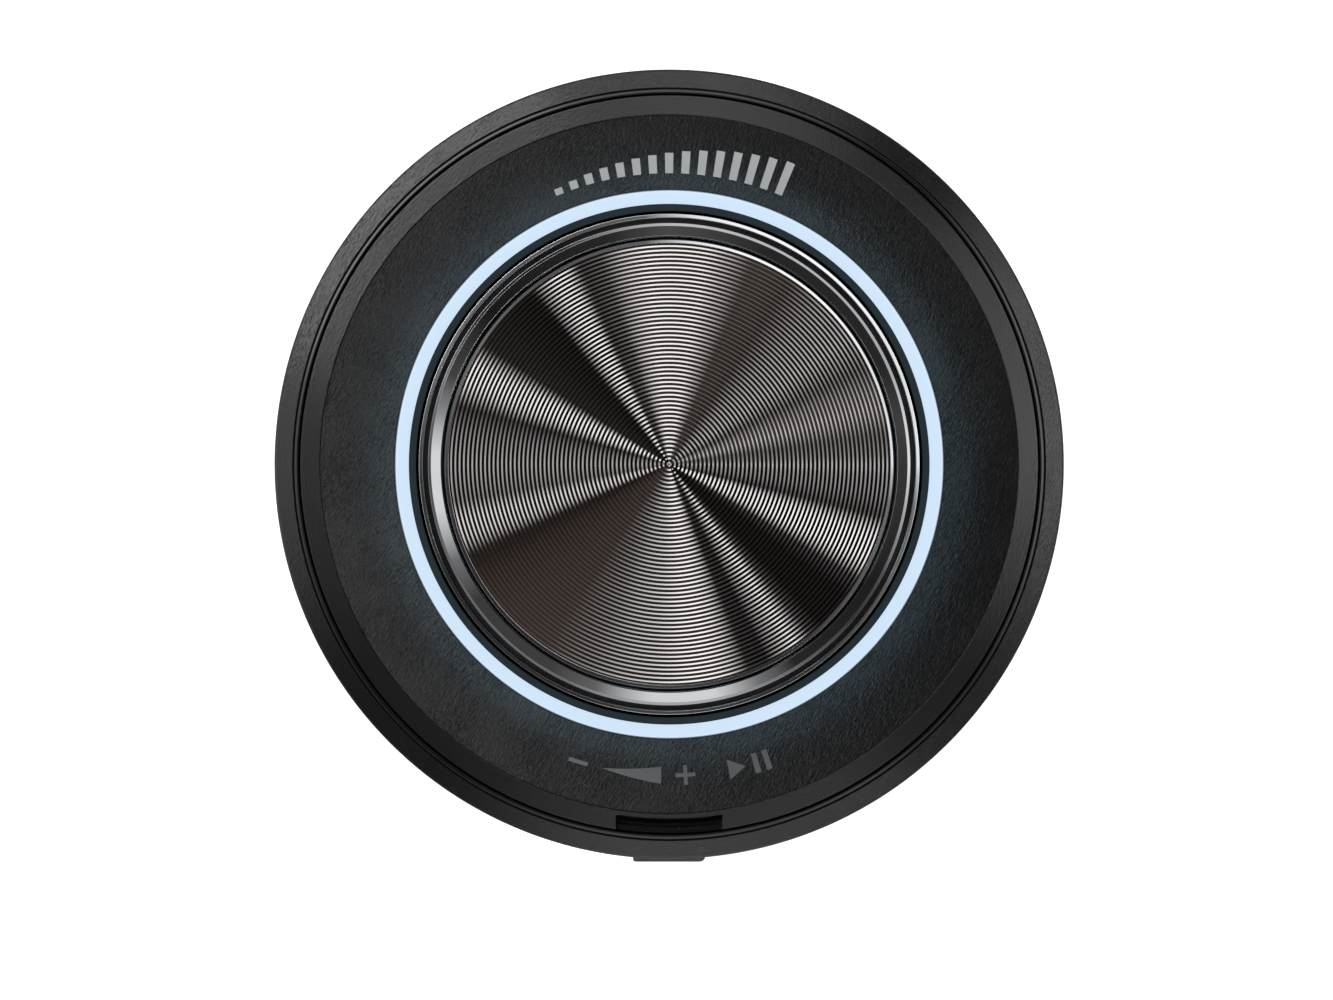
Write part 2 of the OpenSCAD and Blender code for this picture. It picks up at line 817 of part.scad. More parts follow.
// Folded steel frame: a plate under the flange and four lugs that go through the board
module encoder_frame() {
  plate_w = encoder_w + 2 * (seat_gap + frame_t);
  color("#b9bdc1")
    difference() {
      union() {
        block(0, 0, plate_w, encoder_w, frame_low_z, flange_z);
        for (s = [-1, 1], y = [-lug_y, lug_y])
          block(s * lug_x, y, frame_t, lug_w, main_board_low_z - through, flange_z);
      }
      disc(bushing_r + seat_gap, frame_low_z - cut, flange_z + cut);
    }
}

// Threaded bushing: a foot under the frame, the thread through the flange, and a seat for the seal
shaft_seal_r = 0.45;
seal_seat_h = 1.4;
module encoder_bushing() {
  color("#a9adb0")
    difference() {
      union() {
        disc(bushing_foot_r, bushing_low_z, frame_low_z);
        disc(bushing_r, bushing_low_z, bushing_top_z - small_edge);
        translate([0, 0, bushing_top_z - small_edge])
          cylinder(r1 = bushing_r, r2 = bushing_r - small_edge, h = small_edge);
      }
      disc(shaft_r + run_gap, bushing_low_z - cut, bushing_top_z + cut);
      disc(
        shaft_r + run_gap + 2 * shaft_seal_r + seat_gap,
        bushing_top_z - seal_seat_h, bushing_top_z + cut
      );
    }
}

module encoder_washer() {
  washer_w = 0.8;
  color("#c4c7c9")
    tube(nut_af / 2 + washer_w, bushing_r + seat_gap, floor_z, floor_z + washer_t);
}

module encoder_nut() {
  nut_low_z = floor_z + washer_t;
  color("#c4c7c9")
    difference() {
      intersection() {
        translate([0, 0, nut_low_z])
          hex_prism(nut_af, nut_t);
        translate([0, 0, nut_low_z])
          cylinder(r1 = nut_af, r2 = nut_af / 2, h = nut_t);
      }
      disc(bushing_r + seat_gap, nut_low_z - cut, nut_low_z + nut_t + cut);
    }
}

// Moulded case with a guide for the switch's plunger on its floor
module encoder_case() {
  guide_w = 1;
  guide_h = 1.1;
  guide_in_r = plunger_r + 2 * run_gap;
  color("#2a2f36")
    union() {
      difference() {
        block(0, 0, encoder_w, encoder_w, case_low_z, bushing_low_z);
        disc(case_bore_r, case_floor_z, bushing_low_z + cut);
      }
      tube(guide_in_r + guide_w, guide_in_r, case_floor_z - small_edge, case_floor_z + guide_h);
    }
}

// Rotor: a toothed cup that turns with the shaft while the shaft slides through it
rotor_rim_gap = 0.25;
module encoder_rotor() {
  rim_z = click_z - rotor_rim_gap;
  tooth_h = 0.35;
  tooth_w = 0.6;
  color("#d8d2c0")
    difference() {
      union() {
        disc(rotor_r, rotor_low_z, rotor_top_z);
        tube(rotor_r, rotor_r - rotor_wall, rotor_low_z, rim_z);
      }
      translate([0, 0, rotor_low_z - cut])
        linear_extrude(rotor_t + 2 * cut)
          shaft_section(run_gap);
      for (i = [0 : click_count - 1])
        rotate([0, 0, (i + 0.5) * 360 / click_count])
          block(rotor_r, 0, 2 * (rotor_wall + cut), tooth_w, rim_z - tooth_h, rim_z + cut);
    }
}

// Spring plate under the bushing's foot, with two pips just above the rotor's teeth
module click_spring() {
  pip_w = 0.5;
  pip_h = 0.12;
  plate_in_r = rotor_r - rotor_wall - move_gap;
  color("#c9b27a")
    union() {
      tube(case_bore_r - seat_gap, plate_in_r, click_z, bushing_low_z);
      for (s = [-1, 1])
        block(s * (rotor_r - rotor_wall / 2), 0, rotor_wall, pip_w, click_z - pip_h, click_z + pip_h);
    }
}

// The spring's centre line climbs at a steady rate, and each ring of points is square to it
function coil_angle(i) = 360 * i / curl_rings;
function coil_centre(i) = [
  spring_mean_r * cos(coil_angle(i)),
  spring_mean_r * sin(coil_angle(i)),
  rotor_top_z + run_gap + spring_wire / 2 + coil_climb * i / curl_rings
];
coil_lean = atan(coil_climb / (2 * PI * spring_mean_r));
function coil_point(i, k) =
  let (
    turn = 360 * k / wire_sides,
    out = spring_wire / 2 * cos(turn),
    up = spring_wire / 2 * sin(turn)
  )
  coil_centre(i) + [
    out * cos(coil_angle(i)) + up * sin(coil_lean) * sin(coil_angle(i)),
    out * sin(coil_angle(i)) - up * sin(coil_lean) * cos(coil_angle(i)),
    up * cos(coil_lean)
  ];

// Index of a point of the spring, from its ring and its side
function coil_index(i, k) = i * wire_sides + k % wire_sides;

module return_spring() {
  color("#c8ccd0")
    polyhedron(
      points = [for (i = [0 : coil_rings], k = [0 : wire_sides - 1]) coil_point(i, k)],
      faces = concat(
        [
          for (i = [0 : coil_rings - 1], k = [0 : wire_sides - 1])
            [coil_index(i, k), coil_index(i + 1, k), coil_index(i, k + 1)]
        ],
        [
          for (i = [0 : coil_rings - 1], k = [0 : wire_sides - 1])
            [coil_index(i, k + 1), coil_index(i + 1, k), coil_index(i + 1, k + 1)]
        ],
        [for (k = [1 : wire_sides - 2]) [0, k, k + 1]],
        [
          for (k = [1 : wire_sides - 2])
            [coil_index(coil_rings, 0), coil_index(coil_rings, k + 1), coil_index(coil_rings, k)]
        ]
      )
    );
}

// Least gap between the wire and itself, measured between rings more than half a curl apart
coil_gap = min([
  for (i = [0 : coil_rings], j = [0 : coil_rings])
    if (j - i > curl_rings / 2) norm(coil_centre(j) - coil_centre(i)) - spring_wire
]);
echo(return_spring_least_gap = coil_gap);

// Three sprung contacts on the case's floor, each with a foot, an upright and an arm near the rotor
module contact_fingers() {
  at_r = 4.9;
  foot_w = 1;
  foot_l = 1.6;
  foot_h = 0.4;
  upright_w = 0.7;
  upright_t = 0.4;
  arm_w = 0.5;
  arm_l = 2;
  arm_t = 0.2;
  arm_gap = 0.15;
  arm_z = rotor_low_z - arm_gap;
  upright_y = (upright_t - foot_l) / 2;
  arm_y = arm_l / 2 + upright_y;
  color("#d9b45a")
    for (i = [0 : 2])
      rotate([0, 0, 90 * i])
        union() {
          block(at_r, 0, foot_w, foot_l, case_floor_z, case_floor_z + foot_h);
          block(at_r, upright_y, upright_w, upright_t, case_floor_z, arm_z);
          block(at_r, arm_y, arm_w, arm_l, arm_z - arm_t, arm_z);
        }
}

module encoder_terminals() {
  color("#c4c7c9")
    union() {
      for (x = row(3, terminal_pitch))
        block(x, -terminal_y, terminal_w, terminal_t, main_board_low_z - through, case_low_z);
      for (x = row(2, 2 * terminal_pitch))
        block(x, terminal_y, terminal_w, terminal_t, main_board_low_z - through, case_low_z);
    }
}

module switch_dome() {
  color("#c9b27a")
    disc(plunger_r, case_floor_z, case_floor_z + dome_t);
}

module switch_plunger() {
  color("#f2f2ee")
    disc(plunger_r, shaft_low_z - plunger_t, shaft_low_z);
}

module encoder_shaft() {
  flat_top_low_z = hub_low_z - move_gap;
  color("#b4b8bb")
    union() {
      disc(tip_r, shaft_low_z, shaft_low_z + tip_l + small_edge);
      translate([0, 0, shaft_low_z + tip_l])
        linear_extrude(collar_low_z - shaft_low_z - tip_l)
          shaft_section(0);
      disc(shaft_r + collar_w, collar_low_z, collar_top_z);
      disc(shaft_r, collar_low_z, flat_top_low_z);
      translate([0, 0, flat_top_low_z])
        linear_extrude(shaft_top_z - flat_top_low_z)
          shaft_section(0);
    }
}

module shaft_seal() {
  color("#101010")
    seal_ring(
      shaft_r + run_gap + shaft_seal_r, shaft_seal_r - 0.01,
      bushing_top_z - seal_seat_h + shaft_seal_r
    );
}

// Points round the fluted grip: each flute has a crest, two flanks and a root
flute_crest_r = grip_r - 0.02;
flute_low_z = foot_top_z + 0.7;
flute_top_z = shoulder_z - 0.35;
function flute_point(i) =
  let (
    turn = 360 * i / (4 * flute_count),
    depth = [0, 0.5, 1, 0.5][i % 4] * flute_depth
  )
  [(flute_crest_r - depth) * cos(turn), (flute_crest_r - depth) * sin(turn)];

// Knob cap: foot with a bright bevelled edge, grip, shoulder, and a recess for the disc
module cap_profile() {
  core_r = flute_crest_r - 2 * flute_depth;
  edge_w = 0.3;
  foot_face_z = foot_top_z - 0.28;
  polygon([
    [grip_r - grip_wall, foot_low_z],
    [foot_r - small_edge, foot_low_z],
    [foot_r, foot_low_z + small_edge],
    [foot_r, foot_top_z - edge_w],
    [foot_r - 0.4 * edge_w, foot_top_z - 0.2 * edge_w],
    [foot_r - 0.7 * edge_w, foot_top_z],
    [foot_r - 0.9 * edge_w, foot_top_z - 0.15 * edge_w],
    [foot_r - edge_w, foot_face_z],
    [grip_r + edge_w, foot_face_z],
    [grip_r, foot_top_z],
    [grip_r, flute_low_z],
    [core_r, flute_low_z],
    [core_r, flute_top_z],
    [grip_r, flute_top_z],
    [grip_r, shoulder_z],
    [grip_r - 0.04 * shoulder_w, shoulder_z + 0.07 * shoulder_h],
    [grip_r - 0.17 * shoulder_w, shoulder_z + 0.18 * shoulder_h],
    [grip_r - 0.25 * shoulder_w, shoulder_z + 0.21 * shoulder_h],
    [grip_r - 0.4 * shoulder_w, shoulder_z + 0.42 * shoulder_h],
    [grip_r - 0.65 * shoulder_w, shoulder_z + 0.72 * shoulder_h],
    [grip_r - 0.87 * shoulder_w, shoulder_z + 0.93 * shoulder_h],
    [grip_r - 0.94 * shoulder_w, knob_top_z],
    [shoulder_in_r, knob_top_z - 0.04 * shoulder_h],
    [shoulder_in_r, recess_z],
    [0, recess_z],
    [0, cap_web_z],
    [grip_r - grip_wall, cap_web_z]
  ]);
}

module knob_cap() {
  color("#3a3a3d")
    union() {
      rotate_extrude($fn = 180) cap_profile();
      difference() {
        translate([0, 0, flute_low_z - small_edge])
          linear_extrude(flute_top_z - flute_low_z + 2 * small_edge)
            polygon([for (i = [0 : 4 * flute_count - 1]) flute_point(i)]);
        disc(grip_r - grip_wall / 2, flute_low_z - cut, flute_top_z + cut);
      }
    }
}

// Inlaid disc: turned grooves inside a bright cut edge
module inlay_profile() {
  pitch = turned_r / inlay_grooves;
  edge_drop = 0.16;
  face_drop = 0.02;
  face_z = inlay_z - face_drop;
  polygon(concat(
    [
      [0, recess_z + film_t],
      [inlay_r, recess_z + film_t],
      [inlay_r, inlay_z - edge_drop],
      [turned_r + face_drop, inlay_z],
      [turned_r, face_z]
    ],
    [
      for (i = [0 : inlay_grooves - 1], k = [0, 1])
        let (r = turned_r - pitch * (i + (k == 0 ? 0.5 : 1)))
          [max(r, 0), face_z - (k == 0 ? inlay_groove_depth : 0)]
    ]
  ));
}

module knob_inlay() {
  color("#6e6662")
    rotate_extrude($fn = 180) inlay_profile();
}

module inlay_film() {
  film_inset = 0.4;
  color("#d8d8d0")
    disc(inlay_r - film_inset, recess_z, recess_z + film_t);
}

// Hub: a flange glued under the cap, ribs, and a boss with a flatted bore
module knob_hub() {
  hub_r = hub_d / 2;
  hub_flange_r = hub_flange_d / 2;
  rib_count = 6;
  rib_t = 1;
  rib_low_z = clip_z + clip_h + move_gap;
  hub_fit = 0.03;
  color("#1c1c1e")
    difference() {
      union() {
        disc(hub_flange_r, hub_flange_z, cap_web_z);
        disc(hub_r, hub_low_z, hub_flange_z + small_edge);
        for (i = [0 : rib_count - 1])
          rotate([0, 0, (i + 0.5) * 360 / rib_count])
            translate([hub_r - cut, -rib_t / 2, rib_low_z])
              cube([hub_flange_r - 2 * rib_t - hub_r + cut, rib_t, hub_flange_z - rib_low_z + small_edge]);
      }
      translate([0, 0, hub_low_z - cut])
        linear_extrude(hub_bore_end_z - hub_low_z + cut)
          shaft_section(hub_fit);
    }
}

// Split steel ring that grips the hub on the shaft
module hub_clip() {
  split_w = 1.6;
  clip_in_r = hub_d / 2 + seat_gap;
  color("#b9bdc1")
    difference() {
      tube(clip_in_r + clip_t, clip_in_r, clip_z, clip_z + clip_h);
      block(0, -clip_in_r, split_w, 4 * clip_t, clip_z - cut, clip_z + clip_h + cut);
    }
}

// Rear cover: a plate, a spigot with a seal groove, and four legs that clamp the main board
module rear_cover() {
  groove_half = seal_d / 2 + seat_gap;
  groove_r = spigot_r - seal_d;
  head_room_r = screw_head_r + 2 * seat_gap;
  color("#232325")
    difference() {
      union() {
        disc(rear_r, rear_low_z + small_edge, rear_z);
        translate([0, 0, rear_low_z])
          cylinder(r1 = rear_r - small_edge, r2 = rear_r, h = small_edge);
        tube(spigot_r, spigot_r - spigot_wall, rear_z - small_edge, rear_z + spigot_l);
        for (a = pillar_angles)
          post(pillar_at, a, pillar_r, rear_z - small_edge, main_board_low_z);
      }
      tube(spigot_r + cut, groove_r, seal_groove_z - groove_half, seal_groove_z + groove_half);
      disc(gland_r + seat_gap, rear_low_z - cut, rear_z + cut);
      for (a = pillar_angles) {
        post(pillar_at, a, case_screw_r + seat_gap, rear_low_z - cut, main_board_low_z + cut);
        post(pillar_at, a, head_room_r, rear_low_z - cut, screw_seat_z);
      }
    }
}

module rear_seal() {
  section_r = seal_d / 2 - 0.01;
  color("#101010")
    seal_ring(bore_r - seat_gap / 2 - section_r, section_r, seal_groove_z);
}

// Four screws that hold the rear cover, the main board and the pillars together
module case_screws() {
  cross_w = 0.5;
  cross_l = 1.4 * screw_head_r;
  cross_h = 0.6;
  head_low_z = screw_seat_z - screw_head_h;
  color("#b9bdc1")
    for (a = pillar_angles)
      difference() {
        union() {
          post(pillar_at, a, screw_head_r, head_low_z, screw_seat_z);
          post(
            pillar_at, a, case_screw_r - seat_gap / 2,
            screw_seat_z - small_edge, main_board_z + case_screw_grip
          );
        }
        rotate([0, 0, a])
          translate([pillar_at, 0, 0])
            for (turn = [0, 90])
              rotate([0, 0, turn])
                block(0, 0, cross_l, cross_w, head_low_z - cut, head_low_z + cross_h);
      }
}

// Cable gland: its body goes through the rear cover, and its sleeve closes on the cable
module gland_body() {
  color("#1a1a1b")
    difference() {
      union() {
        disc(gland_r, gland_hex_z, gland_inner_z);
        translate([0, 0, gland_stub_z])
          hex_prism(gland_af, gland_hex_h);
        disc(stub_r, gland_end_z, gland_stub_z + small_edge);
      }
      disc(cable_way_r, gland_end_z - cut, gland_inner_z + cut);
      disc(sleeve_r + seat_gap, gland_end_z - cut, sleeve_low_z + sleeve_l + seat_gap);
    }
}

module gland_washer() {
  washer_w = 0.6;
  color("#101010")
    tube(gland_af / 2 + washer_w, gland_r + seat_gap, gland_hex_z, rear_low_z);
}

module gland_locknut() {
  color("#1a1a1b")
    difference() {
      translate([0, 0, rear_z])
        hex_prism(gland_af, locknut_t);
      disc(gland_r + seat_gap, rear_z - cut, rear_z + locknut_t + cut);
    }
}

module gland_sleeve() {
  color("#141414")
    tube(sleeve_r, cable_bore_r, sleeve_low_z, sleeve_low_z + sleeve_l);
}

// Domed nut: a hexagon over the gland's outer thread, and a cone that narrows to the cable
module gland_nut() {
  nut_top_z = gland_stub_z - gland_nut_gap;
  nut_hex_h = 4;
  dome_taper = 2;
  dome_top_z = nut_top_z - nut_hex_h;
  dome_top_r = gland_af / 2 - small_edge;
  dome_end_r = dome_top_r - dome_taper;
  color("#1a1a1b")
    difference() {
      union() {
        translate([0, 0, dome_top_z])
          hex_prism(gland_af, nut_hex_h);
        translate([0, 0, gland_nut_low_z])
          cylinder(r1 = dome_end_r, r2 = dome_top_r, h = dome_top_z - gland_nut_low_z + seat_gap);
      }
      disc(stub_r + seat_gap, gland_end_z - small_edge, nut_top_z + cut);
      disc(sleeve_r + seat_gap, sleeve_low_z - seat_gap, gland_end_z);
      disc(cable_way_r, gland_nut_low_z - cut, sleeve_low_z);
    }
}

base_housing();
panel_gasket();
face_cover();
light_ring();
light_shroud();
lamp_board();
ring_lamps();
main_board();
board_link();
board_link_pins();
control_chip();
voltage_regulator();
capacitors();
crystal();
wire_header();
wire_header_pins();
encoder_frame();
encoder_bushing();
encoder_washer();
encoder_nut();
encoder_case();
encoder_rotor();
click_spring();
return_spring();
contact_fingers();
encoder_terminals();
switch_dome();
switch_plunger();
encoder_shaft();
shaft_seal();
knob_cap();
knob_inlay();
inlay_film();
knob_hub();
hub_clip();
rear_cover();
rear_seal();
case_screws();
gland_body();
gland_washer();
gland_locknut();
gland_sleeve();
gland_nut();
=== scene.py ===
"""Finished pieces, studio and camera for a round panel volume control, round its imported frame.

Lengths inside the functions are millimetres, and piece() turns them into metres.
"""

import json
import math

import bpy
import numpy as np
from bpy.props import FloatProperty, FloatVectorProperty, IntProperty, PointerProperty
from bpy.types import Operator, Panel, PropertyGroup
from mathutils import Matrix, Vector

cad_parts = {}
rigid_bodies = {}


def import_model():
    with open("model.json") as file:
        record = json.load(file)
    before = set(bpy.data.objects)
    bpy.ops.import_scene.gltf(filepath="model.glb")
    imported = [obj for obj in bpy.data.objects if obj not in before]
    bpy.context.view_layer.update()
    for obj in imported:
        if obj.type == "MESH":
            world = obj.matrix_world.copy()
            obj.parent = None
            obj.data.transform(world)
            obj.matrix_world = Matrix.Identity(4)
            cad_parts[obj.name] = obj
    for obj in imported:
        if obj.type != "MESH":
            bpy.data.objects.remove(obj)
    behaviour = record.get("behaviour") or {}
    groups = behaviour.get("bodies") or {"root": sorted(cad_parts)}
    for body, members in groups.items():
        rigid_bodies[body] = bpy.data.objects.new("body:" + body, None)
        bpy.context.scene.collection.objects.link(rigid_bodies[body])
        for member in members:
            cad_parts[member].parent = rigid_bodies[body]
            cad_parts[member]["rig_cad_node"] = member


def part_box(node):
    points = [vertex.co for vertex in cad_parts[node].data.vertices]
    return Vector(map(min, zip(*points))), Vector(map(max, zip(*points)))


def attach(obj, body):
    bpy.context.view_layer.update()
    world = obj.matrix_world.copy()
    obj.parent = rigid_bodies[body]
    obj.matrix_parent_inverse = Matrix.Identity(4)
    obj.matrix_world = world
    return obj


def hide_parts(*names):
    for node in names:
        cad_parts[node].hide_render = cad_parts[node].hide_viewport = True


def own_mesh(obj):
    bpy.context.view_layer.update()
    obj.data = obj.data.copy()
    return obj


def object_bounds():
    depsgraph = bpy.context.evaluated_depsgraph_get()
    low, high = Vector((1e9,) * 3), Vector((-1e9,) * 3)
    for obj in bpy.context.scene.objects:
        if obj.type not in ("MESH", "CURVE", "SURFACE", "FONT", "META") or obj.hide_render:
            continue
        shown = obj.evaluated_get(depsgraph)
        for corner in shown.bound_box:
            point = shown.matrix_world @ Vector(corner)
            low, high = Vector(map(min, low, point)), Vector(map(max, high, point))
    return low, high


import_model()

bl_info = {
    "name": "Panel volume control",
    "version": (1, 0, 0),
    "blender": (4, 5, 0),
    "location": "View3D > Sidebar > Control",
    "description": "Makes the finished pieces of a lit, pressable volume knob, and its studio",
    "category": "Object",
}

CAD_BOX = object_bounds()
MM = 0.001
TURN = 2 * np.pi
RIGHT_ANGLE = math.pi / 2

# The photograph's frame: its size, and the width and centre of the round face in it, in pixels
IMAGE_WIDTH = 1333
IMAGE_HEIGHT = 1000
FACE_WIDTH_PX = 789.6
FACE_CENTRE_PX = (669.2, 464.2)


def low(node):
    """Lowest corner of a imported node, in millimetres."""
    return np.array(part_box(node)[0]) / MM


def high(node):
    """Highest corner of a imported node, in millimetres."""
    return np.array(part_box(node)[1]) / MM


# Heights and radii that more than one piece needs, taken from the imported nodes
RIM_R = high("base_housing")[0]
FLANGE_Z = high("panel_gasket")[2]
FLOOR_Z = low("encoder_washer")[2]
REAR_Z = low("base_housing")[2]
REAR_LOW_Z = high("gland_washer")[2]
COVER_R = high("face_cover")[0]
RING_R = high("light_ring")[0]
RING_TOP_Z = high("light_ring")[2]
FOOT_R = high("knob_cap")[0]
FOOT_LOW_Z = low("knob_cap")[2]
KNOB_TOP_Z = high("knob_cap")[2]
INLAY_R = high("knob_inlay")[0]
INLAY_Z = high("knob_inlay")[2]
INLAY_LOW_Z = low("knob_inlay")[2]
RECESS_Z = low("inlay_film")[2]
CAP_WEB_Z = high("knob_hub")[2]
MAIN_BOARD_Z = high("main_board")[2]

# Sizes that the nodes' boxes don't show: heights, radii, and angles round the axis
RIM_GROOVE_R = 28.56
PILLAR_R = 15.8
RING_IN_R = 19.74
FASCIA_OUT_R = COVER_R - 1.62
FASCIA_IN_R = RING_R + 0.13
GRIP_R = 17.93
RECESS_R = 16.88
FOOT_TOP_Z = FOOT_LOW_Z + 1.2
GLAND_HOLE_R = 6.05
PILLAR_ANGLES = np.radians([45, 135, 225, 315])
PEG_ANGLES = PILLAR_ANGLES + TURN / 8
LAMP_ANGLES = np.arange(12) * TURN / 12


# Sizes and colours that a user would change


def length_property(name, description, millimetres):
    """Length of a piece, with its default in millimetres."""
    return FloatProperty(
        name=name, description=description, default=millimetres * MM, unit="LENGTH", precision=6)


class HousingSizes(PropertyGroup):
    rim_width: length_property("Rim width", "From the rim's outer wall in to the face cover's pocket", 1.9)
    lip_height: length_property("Lip height", "Height of the lip above the flange's floor", 1.42)
    barrel_wall: length_property("Barrel wall", "Wall of the barrel behind the panel", 1.6)
    screw_circle: length_property("Screw circle", "Radius of the circle of panel screws", 25.28)
    screw_hole: length_property("Screw hole", "Diameter of the panel screw holes", 2.9)
    screw_head: length_property("Screw countersink", "Diameter of the countersinks", 4.9)


class CoverSizes(PropertyGroup):
    bevel_width: length_property("Bevel width", "Width of the smooth bevel round the face", 1.5)
    bevel_height: length_property("Bevel height", "Height of the smooth bevel", 0.95)
    fascia_height: length_property("Fascia height", "How far the fascia climbs to the lit ring", 0.85)
    fascia_swell: length_property("Fascia swell", "How far the fascia stands above a straight cone", 0.16)
    slot_width: length_property("Lever slot width", "Width of the slot that takes a lever", 8)
    print_height: length_property("Print height", "How far the printed marks stand above the fascia", 0.02)


class KnobSizes(PropertyGroup):
    flute_count: IntProperty(
        name="Flutes", description="Number of flutes round the grip", default=120, min=12)
    flute_depth: length_property("Flute depth", "Depth of the flutes", 0.12)
    groove_count: IntProperty(
        name="Turned grooves", description="Number of grooves turned in the disc", default=52, min=4)
    groove_depth: length_property("Groove depth", "Depth of the grooves turned in the disc", 0.0424)
    shoulder_height: length_property(
        "Shoulder height", "Height of the polished shoulder round the disc", 0.8)
    press_travel: length_property("Press travel", "How far the knob travels when it is pressed", 1.5)


class GlandSizes(PropertyGroup):
    hexagon: length_property("Gland hexagon", "Size of the gland's hexagons across their flats", 15)
    thread_pitch: length_property(
        "Gland thread pitch", "Distance from one turn of the gland's thread to the next", 1)


class ControlColours(PropertyGroup):
    ring_light: FloatVectorProperty(
        name="Ring light", description="Colour of the lit ring", subtype="COLOR",
        default=(0.651, 0.807, 0.973), min=0, max=1)
    ring_strength: FloatProperty(
        name="Ring strength", description="Strength of the light that the ring gives", default=0.955, min=0)
    studio_level: FloatProperty(
        name="Studio level", description="Level of all the lamps and the dome together", default=1.0, min=0)


GROUPS = {
    "control_housing": HousingSizes,
    "control_cover": CoverSizes,
    "control_knob": KnobSizes,
    "control_gland": GlandSizes,
    "control_colours": ControlColours,
}


def lip_top():
    """Height of the rim's lip, where the face cover's bevel starts."""
    return FLOOR_Z + bpy.context.scene.control_housing.lip_height / MM


def screw_circle():
    """Radius of the circle on which the panel screws and the face cover's pegs stand."""
    return bpy.context.scene.control_housing.screw_circle / MM


# Shapes: a shape is a tuple of points, four-sided faces and three-sided faces


def skin(loops, ends="caps"):
    """Skin over closed loops of points, loops[i, j]: i runs along the piece and j round it.

    Point (i, j) is joined to (i, j + 1), (i + 1, j + 1) and (i + 1, j). With "join" the last loop
    meets the first, and with "caps" each end loop is closed by a fan round its mean point. The
    material lies on the left of the direction in which the section runs.
    """
    rows, cols = loops.shape[:2]
    points = loops.reshape(-1, 3)
    i = np.arange(rows if ends == "join" else rows - 1)[:, None]
    j = np.arange(cols)[None, :]
    beside, after = (j + 1) % cols, (i + 1) % rows
    quads = np.stack(
        [i * cols + j, i * cols + beside, after * cols + beside, after * cols + j], -1
    ).reshape(-1, 4)
    tris = np.zeros((0, 3), int)
    if ends == "caps":
        count = len(points)
        last = (rows - 1) * cols
        j, beside = np.arange(cols), (np.arange(cols) + 1) % cols
        first_fan = np.stack([np.full(cols, count), beside, j], -1)
        last_fan = np.stack([last + j, last + beside, np.full(cols, count + 1)], -1)
        points = np.vstack([points, loops[0].mean(0), loops[-1].mean(0)])
        tris = np.vstack([first_fan, last_fan])
    return points, quads, tris


def union_of(shapes):
    """Put several shapes into one: their points in a row, and their faces counted on."""
    points, quads, tris, count = [], [], [], 0
    for shape in shapes:
        points.append(shape[0])
        quads.append(shape[1] + count)
        tris.append(shape[2] + count)
        count += len(shape[0])
    return np.vstack(points), np.vstack(quads), np.vstack(tris)


def round_the_axis(shape, angles, at_r):
    """Copies of a shape moved out to a radius, one turned to each angle round the Z axis.

    Turning gives x cos - y sin and x sin + y cos.
    """
    copies = []
    for angle in angles:
        c, s = math.cos(angle), math.sin(angle)
        out = shape[0] + np.array([at_r, 0, 0])
        copies.append((out @ np.array([[c, s, 0], [-s, c, 0], [0, 0, 1]]), shape[1], shape[2]))
    return union_of(copies)


def rounded(corners, cut, steps, closed=True):
    """Section whose corners are parabolas between two points `cut` away from each corner.

    With u from 0 to 1 a corner p between points a and b becomes
    (1 - u)^2 a + 2 u (1 - u) p + u^2 b, and a cut never takes more than 0.45 of a side. Each
    straight run over 0.1 long gets a point 0.02 or less from both of its ends, so that it shades
    as a flat.
    """
    p = np.asarray(corners, float)
    cut = np.broadcast_to(np.asarray(cut, float), len(p)).copy()
    if not closed:
        cut[[0, -1]] = 0
    back, ahead = np.roll(p, 1, 0) - p, np.roll(p, -1, 0) - p
    back_l, ahead_l = np.linalg.norm(back, axis=1), np.linalg.norm(ahead, axis=1)
    reach = np.minimum(cut, 0.45 * np.minimum(back_l, ahead_l))[:, None]
    a, b = p + back / back_l[:, None] * reach, p + ahead / ahead_l[:, None] * reach
    u = np.linspace(0, 1, steps)[None, :, None]
    curve = (1 - u) ** 2 * a[:, None] + 2 * u * (1 - u) * p[:, None] + u ** 2 * b[:, None]
    run = np.roll(a, -1, 0) - b
    length = np.linalg.norm(run, axis=1)[:, None]
    step = np.where(length > 0.1, np.minimum(0.02, 0.1 * length), 0) / np.maximum(length, 1e-9)
    if not closed:
        step[-1] = 0
    hold = [(b + run * step)[:, None], (np.roll(a, -1, 0) - run * step)[:, None]]
    curve = np.concatenate([curve, *hold], 1)
    if not closed:
        curve[-1, -2:] = curve[-1, -3]
    curve = curve.reshape(-1, 2)
    apart = np.linalg.norm(curve - np.roll(curve, 1, 0), axis=1) > 1e-5
    apart[0] = True
    return curve[apart]


def round_loops(radius, z):
    """Loops (radius cos t, radius sin t, z) round the Z axis, as j of radius[i, j] runs once round."""
    t = np.arange(radius.shape[1]) * TURN / radius.shape[1]
    return np.stack([radius * np.cos(t), radius * np.sin(t), np.broadcast_to(z, radius.shape)], -1)


def ring_loops(section, count):
    """Plain round loops, one for each (r, z) of a section."""
    r, z = np.asarray(section, float).T
    return round_loops(np.repeat(r[:, None], count, 1), z[:, None])


def lathe(section, count, ends="join"):
    """Section of (r, z) turned round the Z axis."""
    return skin(ring_loops(section, count), ends)


def plug(r, z0, z1, edge, count):
    """Round bar between two heights with chamfered ends."""
    section = [(r - edge, z0), (r, z0 + edge), (r, z1 - edge), (r - edge, z1)]
    return lathe(section if edge else [(r, z0), (r, z1)], count, "caps")


